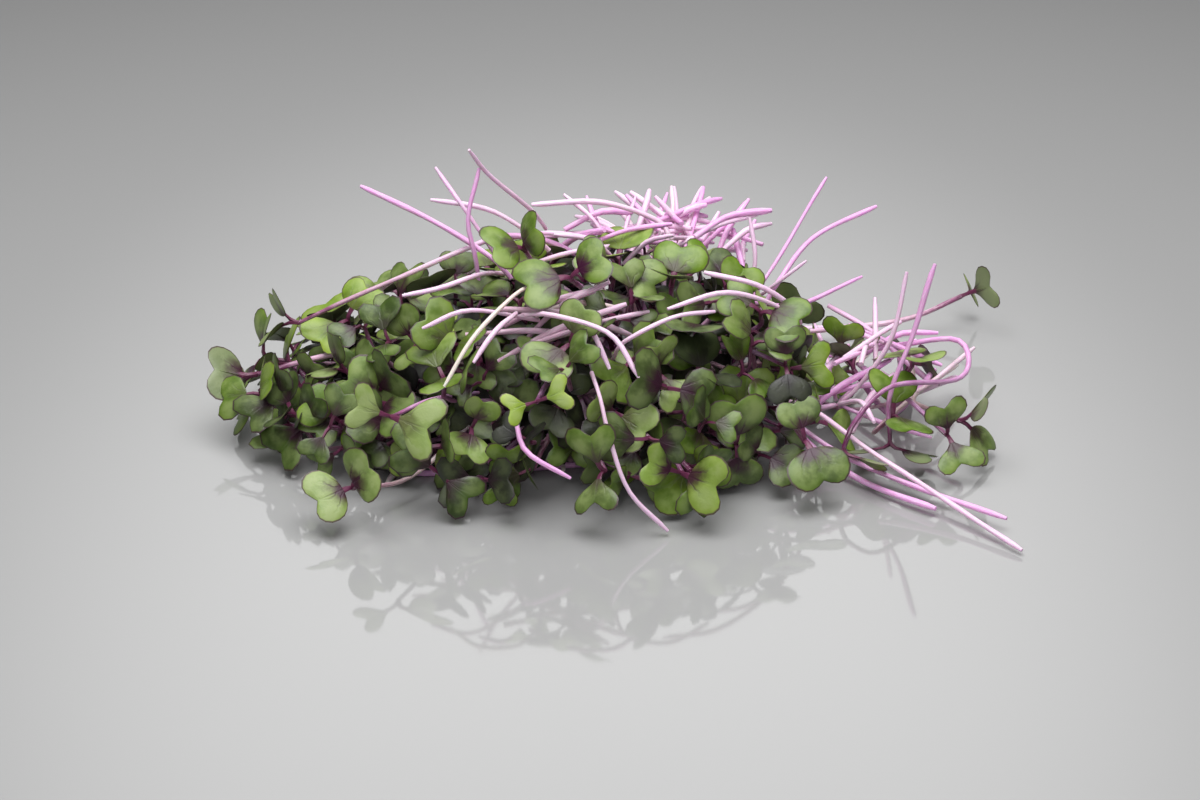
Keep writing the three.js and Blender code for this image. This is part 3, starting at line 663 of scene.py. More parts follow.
# One seed leaf with its stalk as a closed blade and a closed rib, for a half-width of 1. The
# stalk's rings lie on the stalk's end here, and the tree pulls them down to the fork
def leafForm(name):
    build = leafBuild
    lobe, leftWidth = leafForms[name]["lobe"], leafForms[name]["left"]
    grade = "inner" if name.startswith("inner") else "fine"
    steps, sides = build[grade + "Steps"], build[grade + "Sides"]
    outline = spacedAlong([(x, y, 0) for x, y in lobe], np.linspace(0, 1, steps + 1))[:, :2]
    outline[-1, 0] = 0
    midLength = outline[-1, 1] - build["notchGap"]
    thick, thin, inset = build["midThick"], build["rimThick"], 1 - build["rimWidth"]
    points, values, index, faces = [], [], {}, []

    def corner(x, y, z, rim=0.0, under=0.0, down=0.0, stalk=0.0, onBlade=True):
        key = (round(x, 4), round(y, 4), round(z, 4), under, round(down, 2), stalk)
        if key not in index:
            index[key] = len(points)
            points.append((x, y, z))
            values.append((x if onBlade else 0, y if onBlade else 0, rim, under, down, stalk))
        return index[key]

    for side in (1, -1):
        widen = leftWidth if side < 0 else 1
        columns = []
        for i in range(steps + 1):
            edge = np.array([outline[i][0] * widen * side, outline[i][1]])
            middle = np.array((0, midLength * (i / steps) ** build["gather"]))

            def across(share, lift, **marks):
                spot = middle + (edge - middle) * share
                bulge = build["dome"] * sin(pi * share) * sin(pi * i / steps)
                return corner(spot[0], spot[1], bulge + lift, **marks)

            columns.append([
                across(0, thick), across(build["halfway"], 0.5 * (thick + thin)), across(inset, thin),
                across(1, 0, rim=1, under=0.5), across(inset, -thin, under=1), across(0, -thick, under=1),
            ])
        for a, b in zip(columns, columns[1:]):
            for j in range(5):
                faces.append(list(dict.fromkeys([a[j], a[j + 1], b[j + 1], b[j]])))
        faces.append(columns[0])
    loops = []
    ahead, up = rule["stalkWay"]
    for down, y, wide, high in build["rings"][:: 1 if grade == "fine" else 2]:
        marks = {"under": 0.75, "down": down, "onBlade": down == 0}
        marks["stalk"] = 1 if y < build["stalkUpTo"] else build["ribTint"]
        loops.append([])
        for n in range(sides):
            turn = 2 * pi * (n + build["ribTurn"]) / sides
            out = high * sin(turn)
            spot = (-up * out, ahead * out) if down > 0 else (y, out + build["ribLift"])
            loops[-1].append(corner(wide * cos(turn), *spot, **marks))
    for a, b in zip(loops, loops[1:]):
        faces.extend([a[n], a[(n + 1) % sides], b[(n + 1) % sides], b[n]] for n in range(sides))
    faces += [loops[0], loops[-1]]
    mesh = bpy.data.meshes.new("leafForm_" + name)
    mesh.from_pydata(points, [], [face for face in faces if len(face) > 2])
    for n, label in enumerate(("leafU", "leafV", "rim", "under", "down", "stalk")):
        layer = mesh.attributes.new(label, "FLOAT", "POINT")
        layer.data.foreach_set("value", [row[n] for row in values])
    turnOutwards(mesh)
    return newObject("leafForm_" + name, mesh)


def turnOutwards(mesh):
    shell = bmesh.new()
    shell.from_mesh(mesh)
    bmesh.ops.recalc_face_normals(shell, faces=shell.faces)
    shell.to_mesh(mesh)
    shell.free()


# Each point becomes a seed leaf of one of the forms, turned and sized by its attributes, then
# folded, drooped and twisted as the solids are, with its stalk pulled down to the fork
def makeLeafTree(forms):
    inputs = {"Geometry": ["Geometry"], **{f"Form {n + 1}": ["Object"] for n in range(len(forms))}}
    inputs.update({"Leaf Size": ["Float", 1.0], "Leaf Material": ["Material"]})
    tree, given, result = newTree("seedLeaves", "GeometryNodeTree", inputs, {"Geometry": ["Geometry"]})
    choices = place(tree, "GeometryNodeGeometryToInstance")
    for n in reversed(range(len(forms))):
        form = {"Object": given[f"Form {n + 1}"]}
        plug(choices.inputs[0], field(tree, "GeometryNodeObjectInfo", form, "Geometry"))
    ways = "leafUp", "leafAhead", "stalkBack", "stalkBend"
    up, ahead, back, bend = named(tree, *ways, kind="FLOAT_VECTOR")
    u, v, down, fold, droop, twist, form, leafSize = named(
        tree, "leafU", "leafV", "down", "fold", "droop", "twist", "form", "leafSize"
    )
    axes = {"Primary Axis": up, "Secondary Axis": ahead}
    turned = field(tree, "FunctionNodeAxesToRotation", axes, primary_axis="Z", secondary_axis="Y")
    size = leafSize * given["Leaf Size"]
    leaves = step("InstanceOnPoints", given["Geometry"], {
        "Instance": Field(choices.outputs[0]), "Pick Instance": True,
        "Instance Index": field(tree, "FunctionNodeFloatToInt", {0: form}),
        "Rotation": turned, "Scale": size,
    })
    height = fold * abs(u) ** 1.5 - droop * (v * v) + twist * (u * v)
    arch = down * 2.0 * (1.0 - down)
    offset = added(added(scaled(up, height * size), scaled(back, down)), scaled(bend, arch))
    moved = step("SetPosition", step("RealizeInstances", leaves), {"Offset": offset})
    finish = {"Material": given["Leaf Material"]}
    plug(result[0], step("SetMaterial", step("SetShadeSmooth", moved), finish))
    return tree


# Each line of points becomes a stem, as thick at each point as its attribute says
def makeStemTree():
    inputs = {"Geometry": ["Geometry"], "Sides": ["Int", 7], "Thickness": ["Float", 1.0]}
    inputs["Stem Material"] = ["Material"]
    tree, given, result = newTree("cutStems", "GeometryNodeTree", inputs, {"Geometry": ["Geometry"]})
    circle = field(tree, "GeometryNodeCurvePrimitiveCircle", {"Resolution": given["Sides"], "Radius": 1.0})
    position = {"Name": "ring", "Value": field(tree, "GeometryNodeInputPosition")}
    ring = step("StoreNamedAttribute", circle, position, data_type="FLOAT_VECTOR", domain="POINT")
    [girth] = named(tree, "girth")
    profile = {"Profile Curve": ring, "Scale": girth * given["Thickness"], "Fill Caps": True}
    tube = step("CurveToMesh", step("MeshToCurve", given["Geometry"]), profile)
    real = step("RealizeInstances", step("SetShadeSmooth", tube))
    plug(result[0], step("SetMaterial", real, {"Material": given["Stem Material"]}))
    return tree


sharpFrom = 62  # degrees between two faces from which their edge stays sharp


# A mesh of points or lines is run through a tree and becomes a plain piece on the one body
def grow(name, start, tree, values, nodes=()):
    seed = newObject(name + "Start", start)
    modifier = seed.modifiers.new("grow", "NODES")
    modifier.node_group = tree
    for item in tree.interface.items_tree:
        if item.in_out == "INPUT" and item.name in values:
            modifier[item.identifier] = values[item.name]
    graph = bpy.context.evaluated_depsgraph_get()
    grown = seed.evaluated_get(graph)
    mesh = bpy.data.meshes.new_from_object(grown, preserve_all_data_layers=True, depsgraph=graph)
    mesh.name = name
    mesh.set_sharp_from_angle(angle=radians(sharpFrom))
    bpy.data.objects.remove(seed)
    piece = newObject(name, mesh)
    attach(piece, "root")
    if nodes:
        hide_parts(*nodes)


def withAttributes(name, points, edges, layers):
    mesh = bpy.data.meshes.new(name)
    mesh.from_pydata([tuple(point) for point in points], edges, [])
    for label, rows in layers.items():
        rows = np.asarray(rows, float)
        kind, key = ("FLOAT", "value") if rows.ndim == 1 else ("FLOAT_VECTOR", "vector")
        mesh.attributes.new(label, kind, "POINT").data.foreach_set(key, rows.ravel())
    return mesh


# A draw of its own for each place in the heap
placeSeeds = {"leaves": (131, 57, 291, 7), "stems": (17, 91, 53, 3), "knots": (7, 3, 11), "forks": (5, 9, 2)}


def drawAt(point, kind):
    *mix, extra = placeSeeds[kind]
    return seededDraw(int(abs(point @ vec(*mix)) * 10) + extra)


# Tone, wax, blush and darkening of a seedling: mostly mid green, some bright, waxy or dark
leafTones = [
    (0.4, 0.03, 0.6, 0.0), (0.5, 0.45, 0.85, 0.0), (0.32, 0.05, 0.75, 0.05), (0.56, 0.05, 0.5, 0.0),
    (0.66, 0.1, 0.45, 0.0), (0.46, 0.6, 0.7, 0.0), (0.36, 0.35, 0.95, 0.15), (0.22, 0.25, 0.8, 0.45),
    (0.46, 0.0, 0.55, 0.0), (0.36, 0.3, 0.95, 0.05), (0.6, 0.7, 0.7, 0.0),
]
# How leaves differ from that, and how one of a very dark pair stays light
leafSpread = {
    "toneWaxBlush": (0.08, 0.1, 0.12), "shadeTone": 0.5, "veryDark": 0.8, "lighter": 0.1, "darkest": 0.93,
}
stalkArch = 0.4
# Painted shade: leaves that lie deeper in the heap are painted darker, and so are those in two hollows,
# where shade falls
innerShade = {"inner_1": 0.22, "inner_2": 0.6, "inner_3": 0.85}
hollows = [
    {"middle": (-13, -34, 19), "reach": 10, "shade": 0.75},
    {"middle": (23, -30, 22), "reach": 7, "shade": 0.6},
]


def leafLook(plant, draw):
    if "look" in plant:
        return plant["look"]
    *look, dusk = leafTones[int(draw(0, len(leafTones)))]
    # A seedling in a hollow gets that hollow's painted shade
    for row in hollows:
        if np.linalg.norm(plant["line"][-1] - vec(*row["middle"])) < row["reach"]:
            dusk = max(dusk, row["shade"])
    return *look, dusk


# The points that the leaves of some seedlings grow from, with their turns, folds and looks
def leafPoints(name, seedlings, fine=True, shade=0.0):
    rows = []
    for plant in seedlings:
        fork = plant["line"][-1]
        draw = drawAt(fork, "leaves")
        tone, wax, blush, dusk = leafLook(plant, draw)
        form = int(draw(0, fineForms) if fine else draw(fineForms, len(leafForms)))
        for k in (0, 1):
            base, _, ahead, up = leafFrame(plant, k)
            bend = fork + plant["face"] * stalkArch * rule["stalkLength"] - (fork + base) / 2
            moreTone, moreWax, moreBlush = drawVec(draw, *leafSpread["toneWaxBlush"])
            light = leafSpread["lighter"] if k == 1 and dusk >= leafSpread["veryDark"] else 1
            rows.append({
                "point": toMetres(base), "leafSize": plant["leaves"][k] * 0.001, "form": form,
                "leafAhead": ahead, "leafUp": up,
                "stalkBack": (fork - base) * 0.001, "stalkBend": bend * 0.001,
                **dict(zip(("fold", "droop", "twist"), plant["shapes"][k])),
                # Painted shade lowers the tone and the wax and adds to the near-black darkening
                "tone": tone + moreTone - leafSpread["shadeTone"] * shade,
                "wax": wax * (1 - shade) + moreWax, "blush": blush + moreBlush,
                "dusk": min(dusk * light + shade, leafSpread["darkest"]),
            })
    layers = {key: [row[key] for row in rows] for key in rows[0]}
    return withAttributes(name + "Points", layers.pop("point"), [], layers)


# Stems: the radii at the cut end and at the fork of each kind, how they sway and ripple along
# their length, and the taper of the cut end: a share of the radius at so many millimetres
girths = {
    "single": (0.66, 0.5), "cut": (0.59, 0.53), "loose": (0.72, 0.6), "bunch": (0.66, 0.48),
    "underside": (0.75, 0.7),
}
stemBuild = {
    "step": 2.2, "fewest": 6, "sway": (0.15, 0.5), "swayTurn": (0, 6), "swayLength": (6, 9),
    "swaySpread": (1, 1, 0.4), "stout": (0.82, 1.15), "taper": {0: 0.62, 2: 0.96, 5: 1},
    "ripple": 0.07, "rippleLength": (2.5, 4), "gap": 0.02,
}


# Lines of points for stems. Each has a course, the part of a whole stem that it is, with 0 at the
# cut end and 1 at the fork, its radii, and how violet it is, if that isn't drawn
def stemLines(name, stems):
    build = stemBuild
    points, edges = [], []
    numbers = {"girth": [], "along": [], "stemTone": [], "millimetre": []}
    for course, (start, end), radii, *tone in stems:
        length = curveLength(course)
        count = max(build["fewest"], round(length / build["step"]))
        share = np.linspace(0, 1, count)
        line = spacedAlong(course, share)
        draw = drawAt(line[0], "stems")
        sway, turn = draw(*build["sway"]), draw(*build["swayTurn"])
        wave = np.sin(share * length / draw(*build["swayLength"]) + turn) * sway * np.sin(pi * share)
        line = line + np.outer(wave, unit(drawVec(draw, *build["swaySpread"])))
        stout = draw(*build["stout"])
        thick, thin = radii[0] * stout, radii[1] * stout
        widths = [thick * part for part in build["taper"].values()] + [thin]
        girth = np.interp(share * length, [*build["taper"], length], widths)
        girth *= 1 + build["ripple"] * np.sin(share * length / draw(*build["rippleLength"]) + turn)
        line[:, 2] = np.maximum(line[:, 2], girth + build["gap"])
        first = len(points)
        points.extend(toMetres(line))
        edges.extend((first + n, first + n + 1) for n in range(count - 1))
        numbers["girth"].extend(girth * 0.001)
        numbers["along"].extend(start + (end - start) * share)
        numbers["stemTone"].extend([*tone, draw(0, 1)][:1] * count)
        numbers["millimetre"].extend(share * length + 100 * draw(0, 1))
    return withAttributes(name + "Lines", points, edges, numbers)


# The inner end of a cut stem runs on into the heap instead of bending sharply to the crossing
innerEnd = {"straightest": 0.7, "way": (0, 0.25, -0.45), "length": 7}


def withInnerEnd(line):
    last, before = line[-2], line[-3] if len(line) > 2 else line[0]
    way, turned = unit(last - before), unit(line[-1] - last)
    if way.dot(turned) > innerEnd["straightest"]:
        return line
    return list(line[:-1]) + [last + unit(way + vec(*innerEnd["way"])) * innerEnd["length"]]


# Loose cut stems between the leaves: how many, the middle and half-size of the space that they
# lie in, the way they run with its spread, their lengths, how violet they are, and which part
looseKeys = ("count", "middle", "space", "way", "spread", "length", "tone", "part", "seed")
looseStems = {
    "middleTangle": (
        8, (-13, -24, 33), (15, 5, 4), (1, 0.2, 0.1), (0.8, 0.5, 0.8),
        (16, 30), (0.1, 0.45), (0.2, 0.7), 61,
    ),
    "topTangle": (
        9, (-3, 12, 38), (13, 7, 3), (1, -0.1, 0.02), (1.2, 0.9, 0.4),
        (16, 28), (0.25, 0.8), (0, 0.4), 62,
    ),
    "rightTangle": (
        13, (57, -1, 14), (10, 12, 7), (0.8, 0.5, 0.1), (1, 1.1, 0.6),
        (16, 30), (0.3, 0.8), (0, 0.4), 63,
    ),
    "backFan": (
        36, (21, 34, 28), (13, 7, 6), (0.1, 0.8, 0.15), (1.3, 0.5, 0.5),
        (11, 24), (0.15, 0.8), (0, 0.25), 64,
    ),
}
# How far back and how high, along the crest's slope, they reach, and how much higher the fan's
heapLimits = {"back": 53, "top": 58, "fanHigher": 2, "floor": 1.5, "stemsBack": 40}
looseArch = (1, 1, (0, 2.5))


def underTop(point, higher=0):
    return min(point[2], heapLimits["top"] + higher - crest["slope"] * point[1])


def looseLines(row):
    draw = seededDraw(row["seed"])
    stems = []
    for _ in range(row["count"]):
        middle = vec(*row["middle"]) + drawVec(draw, 1, 1, 1) * vec(*row["space"])
        way = unit(vec(*row["way"]) + drawVec(draw, 1, 1, 1) * vec(*row["spread"]))
        half = draw(*row["length"]) / 2
        arch = drawVec(draw, *looseArch)
        line = [middle + way * half, middle + arch, middle - way * half]
        for point in line:
            point[1] = min(point[1], heapLimits["back"])
            point[2] = max(underTop(point), heapLimits["floor"])
        stems.append((line, row["part"], girths["loose"], draw(*row["tone"])))
    return stems


# A bunch's stem runs on past the crossing, towards the back where the cut ends lie
pastKnot = {"way": ((-0.35, 0.55), (0.5, 1), (-0.3, 0.12)), "length": (8, 24), "bend": 0.4}


def stemPastKnot(plant):
    knot, fork = plant["knot"], plant["line"][-1]
    fromKnot, fromFork = abs(knot @ vec(*placeSeeds["knots"])), abs(fork @ vec(*placeSeeds["forks"]))
    draw = seededDraw(int(fromKnot * 100 + fromFork * 10))
    way = unit(drawVec(draw, *pastKnot["way"]))
    far = knot + way * draw(*pastKnot["length"])
    far[1] = min(far[1], heapLimits["stemsBack"])
    far[2] = max(far[2], heapLimits["floor"])
    near = knot + (plant["line"][0] - knot) * pastKnot["bend"]
    return [far, near] + list(plant["line"][1:]), (0.1, 1), girths["bunch"]


# Stems that lie flat under the heap and carry it: middle, turn from +X in degrees and length
underside = {
    "middle": (-12, 0), "height": 0.78, "wave": 0.5, "waves": 9, "places": (-0.5, -0.2, 0.15, 0.5),
    "bars": [
        (4, -25, 7, 64), (-4, 2, -11, 60), (6, 25, 4, 58),
        (-27, -3, 79, 62), (1, 3, 97, 60), (29, -2, 84, 58),
    ],
}


def undersideStems():
    row = underside
    stems = []
    for x, y, turn, length in row["bars"]:
        way = vec(cos(radians(turn)), sin(radians(turn)), 0)
        aside = vec(-way[1], way[0], 0) * row["wave"]
        middle = vec(row["middle"][0] + x, row["middle"][1] + y, row["height"])
        line = [middle + way * length * at + aside * sin(row["waves"] * at) for at in row["places"]]
        stems.append((line, (0, 0.6), girths["underside"]))
    return stems


# The settings come first in place(), because a group has no sockets before it has its tree
def useGroup(tree, group, inputs):
    return [Field(socket) for socket in place(tree, "ShaderNodeGroup", inputs, node_tree=group).outputs]


def mixColour(factor, a, b):
    return field(factor.tree, "ShaderNodeMix", {0: factor, 6: a, 7: b}, 2, data_type="RGBA")


def softStep(value, low, high, start=0.0, end=1.0):
    inputs = {"Value": value, "From Min": low, "From Max": high, "To Min": start, "To Max": end}
    return field(value.tree, "ShaderNodeMapRange", inputs, interpolation_type="SMOOTHSTEP")


def noise(where, scale, detail=2.0, roughness=0.5):
    inputs = {"Vector": where, "Scale": scale, "Detail": detail, "Roughness": roughness}
    return field(where.tree, "ShaderNodeTexNoise", inputs)


def attributes(tree, *names):
    return (field(tree, "ShaderNodeAttribute", output="Fac", attribute_name=name) for name in names)


def rampOf(value, stops, colours):
    node = place(value.tree, "ShaderNodeValToRGB", {0: value})
    ramp = node.color_ramp
    while len(ramp.elements) < len(stops):
        ramp.elements.new(0.5)
    for element, position, colour in zip(ramp.elements, stops, colours):
        element.position = position
        element.color = (*colour, 1)
    return Field(node.outputs[0])


# Blotches and a fine skin that both finishes share: a value round 0.5 and a height
def makeFreshSkin():
    inputs = {"Place": ["Vector"], "Blotch Scale": ["Float", 260.0], "Skin Scale": ["Float", 2600.0]}
    outputs = {"Blotch": ["Float"], "Height": ["Float"]}
    tree, given, result = newTree("freshSkin", "ShaderNodeTree", inputs, outputs)
    broad = noise(given["Place"], given["Blotch Scale"], 3.0, 0.55)
    fine = noise(given["Place"], given["Skin Scale"], 2.0, 0.6)
    plug(result["Blotch"], softStep(broad, 0.3, 0.7))
    plug(result["Height"], broad * 0.7 + fine * 0.3)
    return tree


# Veins that spread from the stalk's end over a leaf's own u and v, fine and fading to the rim:
# how far below the blade they start, their wander and number, and where each kind sets in
veinBuild = {
    "start": 0.12, "wander": 0.35, "number": 5.2, "lateral": (0.93, 1.0), "lateralReach": (1.25, 0.35),
    "middle": (0.05, 0.0), "middleReach": (1.05, 0.5),
}


def makeLeafVeins():
    build = veinBuild
    inputs = {"U": ["Float"], "V": ["Float"], "Wander": ["Float", 0.5]}
    outputs = {"Veins": ["Float"], "From Stalk": ["Float"]}
    tree, given, result = newTree("leafVeins", "ShaderNodeTree", inputs, outputs)
    u, v = given["U"], given["V"]
    far = maths("SQRT", u * u + v * v)
    turn = maths("ARCTAN2", u, v + build["start"]) + (given["Wander"] - 0.5) * build["wander"]
    wave = abs(maths("COSINE", turn * build["number"]))
    lateral = softStep(wave, *build["lateral"]) * softStep(far, *build["lateralReach"])
    middle = softStep(abs(u), *build["middle"]) * softStep(v, *build["middleReach"])
    plug(result["Veins"], maths("MAXIMUM", lateral, middle))
    plug(result["From Stalk"], far)
    return tree


# The colours of both finishes, how much of each lies over the last, and how rough the skin is
leafFinish = {
    "stops": (0.0, 0.25, 0.45, 0.65, 0.85, 1.0),
    "greens": [
        (0.009, 0.017, 0.003), (0.036, 0.07, 0.006), (0.088, 0.165, 0.01),
        (0.165, 0.27, 0.018), (0.26, 0.37, 0.035), (0.37, 0.45, 0.07),
    ],
    # The wax colour is a leaf's own waxy bloom and also paints a sheen at the middle of each lobe
    "wax": (0.29, 0.365, 0.135, 1), "purple": (0.045, 0.006, 0.026, 1), "rim": (0.06, 0.014, 0.04, 1),
    # The near-black colour is a leaf's own dark tint and also the painted shade of deep and hollow leaves
    "under": (0.2, 0.23, 0.14, 1), "stalk": (0.14, 0.03, 0.075, 1), "dusk": (0.014, 0.012, 0.014, 1),
    "vein": (0.24, 0.32, 0.14, 1), "veinShare": 0.28, "underShare": 0.62, "rimShare": 0.85,
    "lobe": (0.5, 0.75), "stain": (0.8, 0.14), "blotching": 0.2, "lighterRim": 0.1, "veinDepth": -0.35,
    "skinScales": (230.0, 2400.0), "roughness": 0.38, "roughSpread": 0.12, "bump": 0.00025,
    "sockets": {"Specular IOR Level": 0.4},
}
stemFinish = {
    "stops": (0.0, 0.4, 0.72, 0.9, 1.0),
    "pink": [
        (0.98, 0.66, 0.9), (0.86, 0.59, 0.75), (0.6, 0.36, 0.48), (0.3, 0.09, 0.2), (0.14, 0.02, 0.08),
    ],
    "violet": [
        (0.97, 0.46, 0.88), (0.78, 0.39, 0.7), (0.55, 0.26, 0.5), (0.25, 0.06, 0.18), (0.13, 0.02, 0.08),
    ],
    "cream": [
        (0.93, 0.83, 0.74), (0.82, 0.68, 0.61), (0.62, 0.44, 0.44), (0.32, 0.13, 0.2), (0.15, 0.03, 0.08),
    ],
    "pale": (0.97, 0.86, 0.92, 1), "deep": (0.5, 0.2, 0.38, 1),
    "bandScale": 0.28, "banding": 0.45, "streakStretch": 0.12, "streakScale": 2.6, "streakDepth": 1.5,
    "skinScales": (420.0, 3200.0), "roughness": 0.36, "roughSpread": 0.14, "bump": 0.0002,
    "sockets": {
        "Subsurface Weight": 0.25, "Subsurface Radius": (1.0, 0.5, 0.8), "Subsurface Scale": 0.0012,
    },
}


def newMaterial(name):
    material = bpy.data.materials.new(name)
    material.use_nodes = True
    return material, material.node_tree, material.node_tree.nodes["Principled BSDF"].inputs


def blotchAndHeight(tree, skin, look):
    where = field(tree, "ShaderNodeTexCoord", output="Object")
    blotch, fine = look["skinScales"]
    return useGroup(tree, skin, {"Place": where, "Blotch Scale": blotch, "Skin Scale": fine})


def finishSkin(tree, shader, look, colour, blotch, height):
    plug(shader["Base Color"], colour)
    plug(shader["Roughness"], blotch * look["roughSpread"] + (look["roughness"] - look["roughSpread"] / 2))
    bump = {"Height": height, "Strength": 0.5, "Distance": look["bump"]}
    plug(shader["Normal"], field(tree, "ShaderNodeBump", bump))
    for name, value in look["sockets"].items():
        plug(shader[name], value)


def makeLeafMaterial(skin, veinsGroup):
    look = leafFinish
    material, tree, shader = newMaterial("seedLeaf")
    blotch, height = blotchAndHeight(tree, skin, look)
    u, v, tone, wax, blush, dusk, under, rim, stalk = attributes(
        tree, "leafU", "leafV", "tone", "wax", "blush", "dusk", "under", "rim", "stalk"
    )
    veins, far = useGroup(tree, veinsGroup, {"U": u, "V": v, "Wander": blotch})
    tone = tone + (blotch - 0.5) * look["blotching"] + softStep(far, 0.4, 1.3) * look["lighterRim"]
    waxy = (wax * softStep(blotch, -0.3, 1.0, 0.4, 0.85)).clamped()
    # Painted sheen: a pale patch in the wax colour at the middle of each lobe
    aside, ahead = abs(u) - look["lobe"][0], v - look["lobe"][1]
    paintedSheen = softStep(aside * aside + ahead * ahead, 0.26, 0.0, 0.0, 0.5) * softStep(blotch, -0.2, 1.0)
    reach = far + (blotch - 0.5) * 0.3 - veins * 0.16
    layers = {
        # A leaf's own waxy bloom together with the painted sheen
        "wax": (waxy + paintedSheen).clamped(),
        "vein": veins * look["veinShare"],
        "under": softStep(under, 0.55, 0.95) * look["underShare"],
        "purple": (softStep(reach, *look["stain"]) * softStep(blush, 0.0, 1.0)).clamped(),
        "rim": softStep(rim, 0.1, 0.7) * look["rimShare"],
        # Near-black darkening: a leaf's own dark tint together with its painted shade
        "dusk": dusk,
        "stalk": softStep(stalk, 0.45, 0.9),
    }
    colour = rampOf(tone, look["stops"], look["greens"])
    for name, share in layers.items():
        colour = mixColour(share, colour, look[name])
    finishSkin(tree, shader, look, colour, blotch, height + veins * look["veinDepth"])
    return material


def makeStemMaterial(skin):
    look = stemFinish
    material, tree, shader = newMaterial("stem")
    blotch, height = blotchAndHeight(tree, skin, look)
    along, tone, millimetre = attributes(tree, "along", "stemTone", "millimetre")
    bands = noise(field(tree, "ShaderNodeCombineXYZ", {0: millimetre, 1: tone}), look["bandScale"])
    along = along + (bands - 0.5) * look["banding"]
    pink, violet, cream = (rampOf(along, look["stops"], look[name]) for name in ("pink", "violet", "cream"))
    ring = field(tree, "ShaderNodeAttribute", output="Vector", attribute_name="ring")
    lengthwise = field(tree, "ShaderNodeCombineXYZ", {2: millimetre * look["streakStretch"]})
    streaks = noise(added(ring, lengthwise), look["streakScale"], 3.0, 0.6)
    colour = mixColour(softStep(tone, 0.45, 0.8), pink, violet)
    colour = mixColour(softStep(tone, 0.28, 0.05), colour, cream)
    colour = mixColour(softStep(streaks, 0.5, 0.75, 0.0, 0.55), colour, look["pale"])
    colour = mixColour(softStep(streaks, 0.46, 0.2, 0.0, 0.4), colour, look["deep"])
    finishSkin(tree, shader, look, colour, blotch, height + streaks * look["streakDepth"])
    return material


def camelName(name, ending=""):
    words = name.split("_")
    return words[0] + "".join(word.capitalize() for word in words[1:]) + ending


def asShown(name, plant):
    if name not in turnedPairs:
        return plant
    face, along = (vec(*way) for way in turnedPairs[name])
    return {**plant, "face": unit(face), "along": squareTo(along, unit(face))}


# A seedling of a bunch that would rise over the crest lies as much lower
def underCrest(plant):
    fork = plant["line"][-1]
    near = abs(fork[0] - crest["middle"]) < crest["lowerWithin"]
    lower = vec(0, 0, -min(max(aboveCrest(plant), 0), crest["mostLower"]) if near else 0)
    return {**plant, "line": [point + lower for point in plant["line"]]}


def makeSeedlings(leafTree, stemTree, leafMaterial, stemMaterial):
    leafValues = {f"Form {n + 1}": bpy.data.objects["leafForm_" + key] for n, key in enumerate(leafForms)}
    leafValues["Leaf Material"] = leafMaterial

    def growLeaves(name, seedlings, nodes, **how):
        start = leafPoints(name, seedlings, **how)
        grow(camelName(name, "Leaves"), start, leafTree, leafValues, nodes)

    def growStems(name, stems, nodes=()):
        grow(name, stemLines(name, stems), stemTree, {"Stem Material": stemMaterial}, nodes)

    for name, plant in loose.items():
        stem = plant["line"], (0, 1), girths["single"], *singleTones.get(name, ())
        growStems(camelName(name, "Stem"), [stem], [name + "_stem"])
        growLeaves(name, [asShown(name, plant)], [name + "_leaves"])
    print("single seedlings made")
    for name, lines in sticks.items():
        row = bundles.get(name, backFanRow)
        girth = row.get("girth", girths["cut"])
        stems = [(withInnerEnd(line), (0, 0.45), girth, tone) for line, tone in zip(lines, row["tones"])]
        if row is backFanRow:
            for line, *_ in stems:
                line[0][2] = underTop(line[0], heapLimits["fanHigher"])
        growStems(camelName(name), stems, [name])
    for name, values in looseStems.items():
        growStems(name, looseLines(dict(zip(looseKeys, values))))
    growStems("undersideStems", undersideStems(), ["underside_sticks"])
    print("bundles of cut stems made")
    for name, seedlings in {**tufts, **inner}.items():
        if not seedlings:
            continue
        if name in tufts and name != "right_bunch":
            seedlings = [underCrest(plant) for plant in seedlings]
        nodes = [name] if name in tufts else []
        growLeaves(name, seedlings, nodes, fine=name in tufts, shade=innerShade.get(name[:7], 0))
        growStems(camelName(name, "Stems"), [stemPastKnot(plant) for plant in seedlings], nodes)
    print("leafy bunches made")


# The glows are soft lights of the room: their way, strength, and core and rim in degrees
studio = {
    "elevation": 27, "distance": 0.65, "lens": 87.75, "sensor": 36, "lookAt": (0, 0, 4),
    "floorHalf": 2.5, "floor": (0.34, 0.34, 0.34, 1), "steepness": (0.1, 0.45), "roughness": (0.5, 0.05),
    "lamp": {"place": (0, -0.03, 0.52), "size": 0.56, "power": 1.68, "spread": 108},
    "skyStrength": 0.04,
    "glows": [
        {"way": (0, 0.81, 0.59), "strength": 2.2, "core": 3, "rim": 16},
        {"way": (0, 0.35, 0.94), "strength": 0.6, "core": 10, "rim": 45},
        {"way": (-0.15, -0.8, 0.6), "strength": 1.9, "core": 6, "rim": 31},
    ],
}


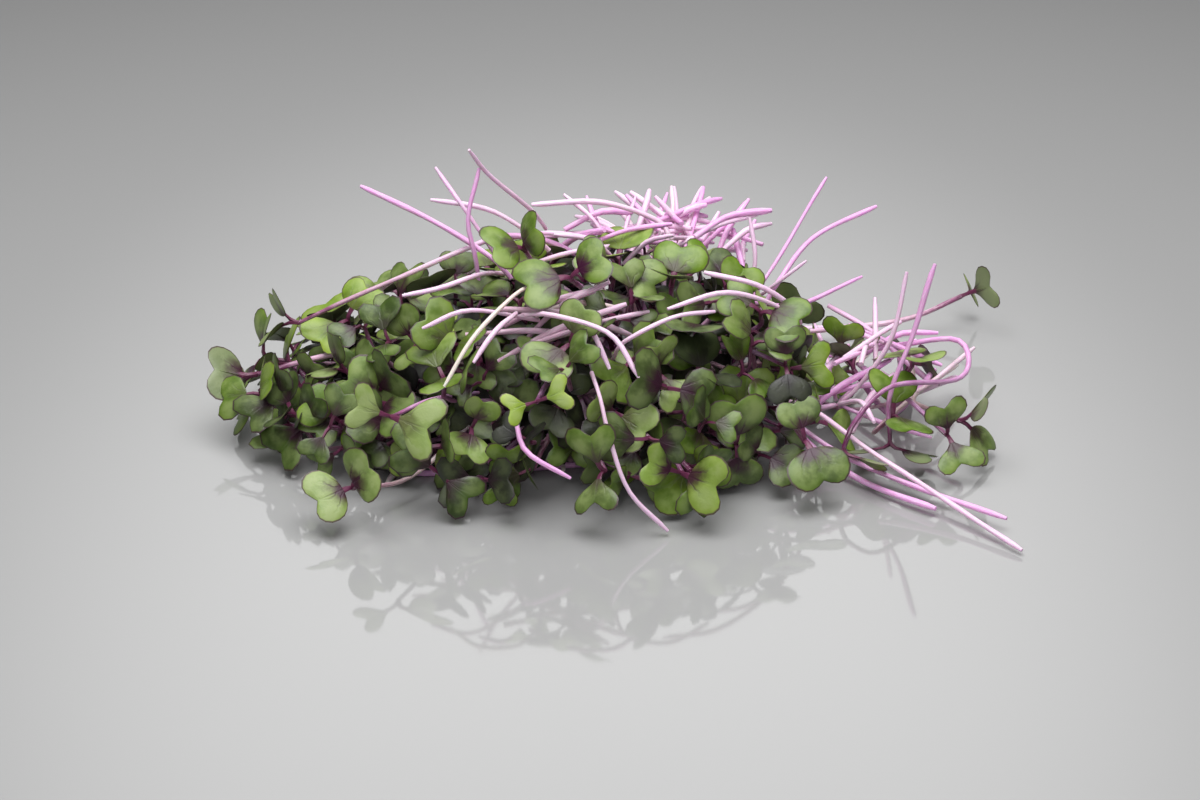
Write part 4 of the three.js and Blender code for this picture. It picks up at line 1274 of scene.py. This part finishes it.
def makeFloor(row):
    half = row["floorHalf"]
    mesh = bpy.data.meshes.new("floor")
    corners = [(-half, -half, 0), (half, -half, 0), (half, half, 0), (-half, half, 0)]
    mesh.from_pydata(corners, [], [(0, 1, 2, 3)])
    floor = newObject("floor", mesh)
    material, tree, shader = newMaterial("paleFloor")
    shader["Base Color"].default_value = row["floor"]
    steep = field(tree, "ShaderNodeLayerWeight", output="Facing")
    plug(shader["Roughness"], softStep(steep, *row["steepness"], *row["roughness"]))
    mesh.materials.append(material)


# A dim room with soft glows behind, overhead and in front, whose light fades without an edge
def makeRoom(row):
    world = bpy.data.worlds.new("softRoom")
    world.use_nodes = True
    tree = world.node_tree
    way = field(tree, "ShaderNodeTexCoord", output="Generated")
    strength = row["skyStrength"]
    for glow in row["glows"]:
        both = {0: way, 1: unit(vec(*glow["way"]))}
        nearness = field(tree, "ShaderNodeVectorMath", both, "Value", operation="DOT_PRODUCT")
        edge, core = (cos(radians(glow[key])) for key in ("rim", "core"))
        strength = softStep(nearness, edge, core, 0.0, glow["strength"]) + strength
    background = tree.nodes["Background"]
    background.inputs["Color"].default_value = (1, 1, 1, 1)
    plug(background.inputs["Strength"], strength)
    bpy.context.scene.world = world


def aim(viewer, target):
    viewer.rotation_euler = (target - viewer.location).to_track_quat("-Z", "Y").to_euler()


def makeStudio():
    row = studio
    makeFloor(row)
    makeRoom(row)
    target = Vector(toMetres(row["lookAt"]))
    light = bpy.data.lights.new("topLight", "AREA")
    light.shape = "DISK"
    light.size, light.energy = row["lamp"]["size"], row["lamp"]["power"]
    light.spread = radians(row["lamp"]["spread"])
    lamp = newObject("topLight", light)
    lamp.location = row["lamp"]["place"]
    aim(lamp, target)
    camera = bpy.data.cameras.new("camera")
    camera.lens, camera.sensor_width = row["lens"], row["sensor"]
    viewer = newObject("camera", camera)
    tilt = radians(row["elevation"])
    viewer.location = target + Vector((0, -cos(tilt), sin(tilt))) * row["distance"]
    aim(viewer, target)
    bpy.context.scene.camera = viewer
    bpy.context.scene.view_settings.view_transform = "Standard"


skin = makeFreshSkin()
forms = [leafForm(name) for name in leafForms]
leafMaterial, stemMaterial = makeLeafMaterial(skin, makeLeafVeins()), makeStemMaterial(skin)
makeSeedlings(makeLeafTree(forms), makeStemTree(), leafMaterial, stemMaterial)
for form in forms:
    bpy.data.objects.remove(form)
makeStudio()
print("studio made")
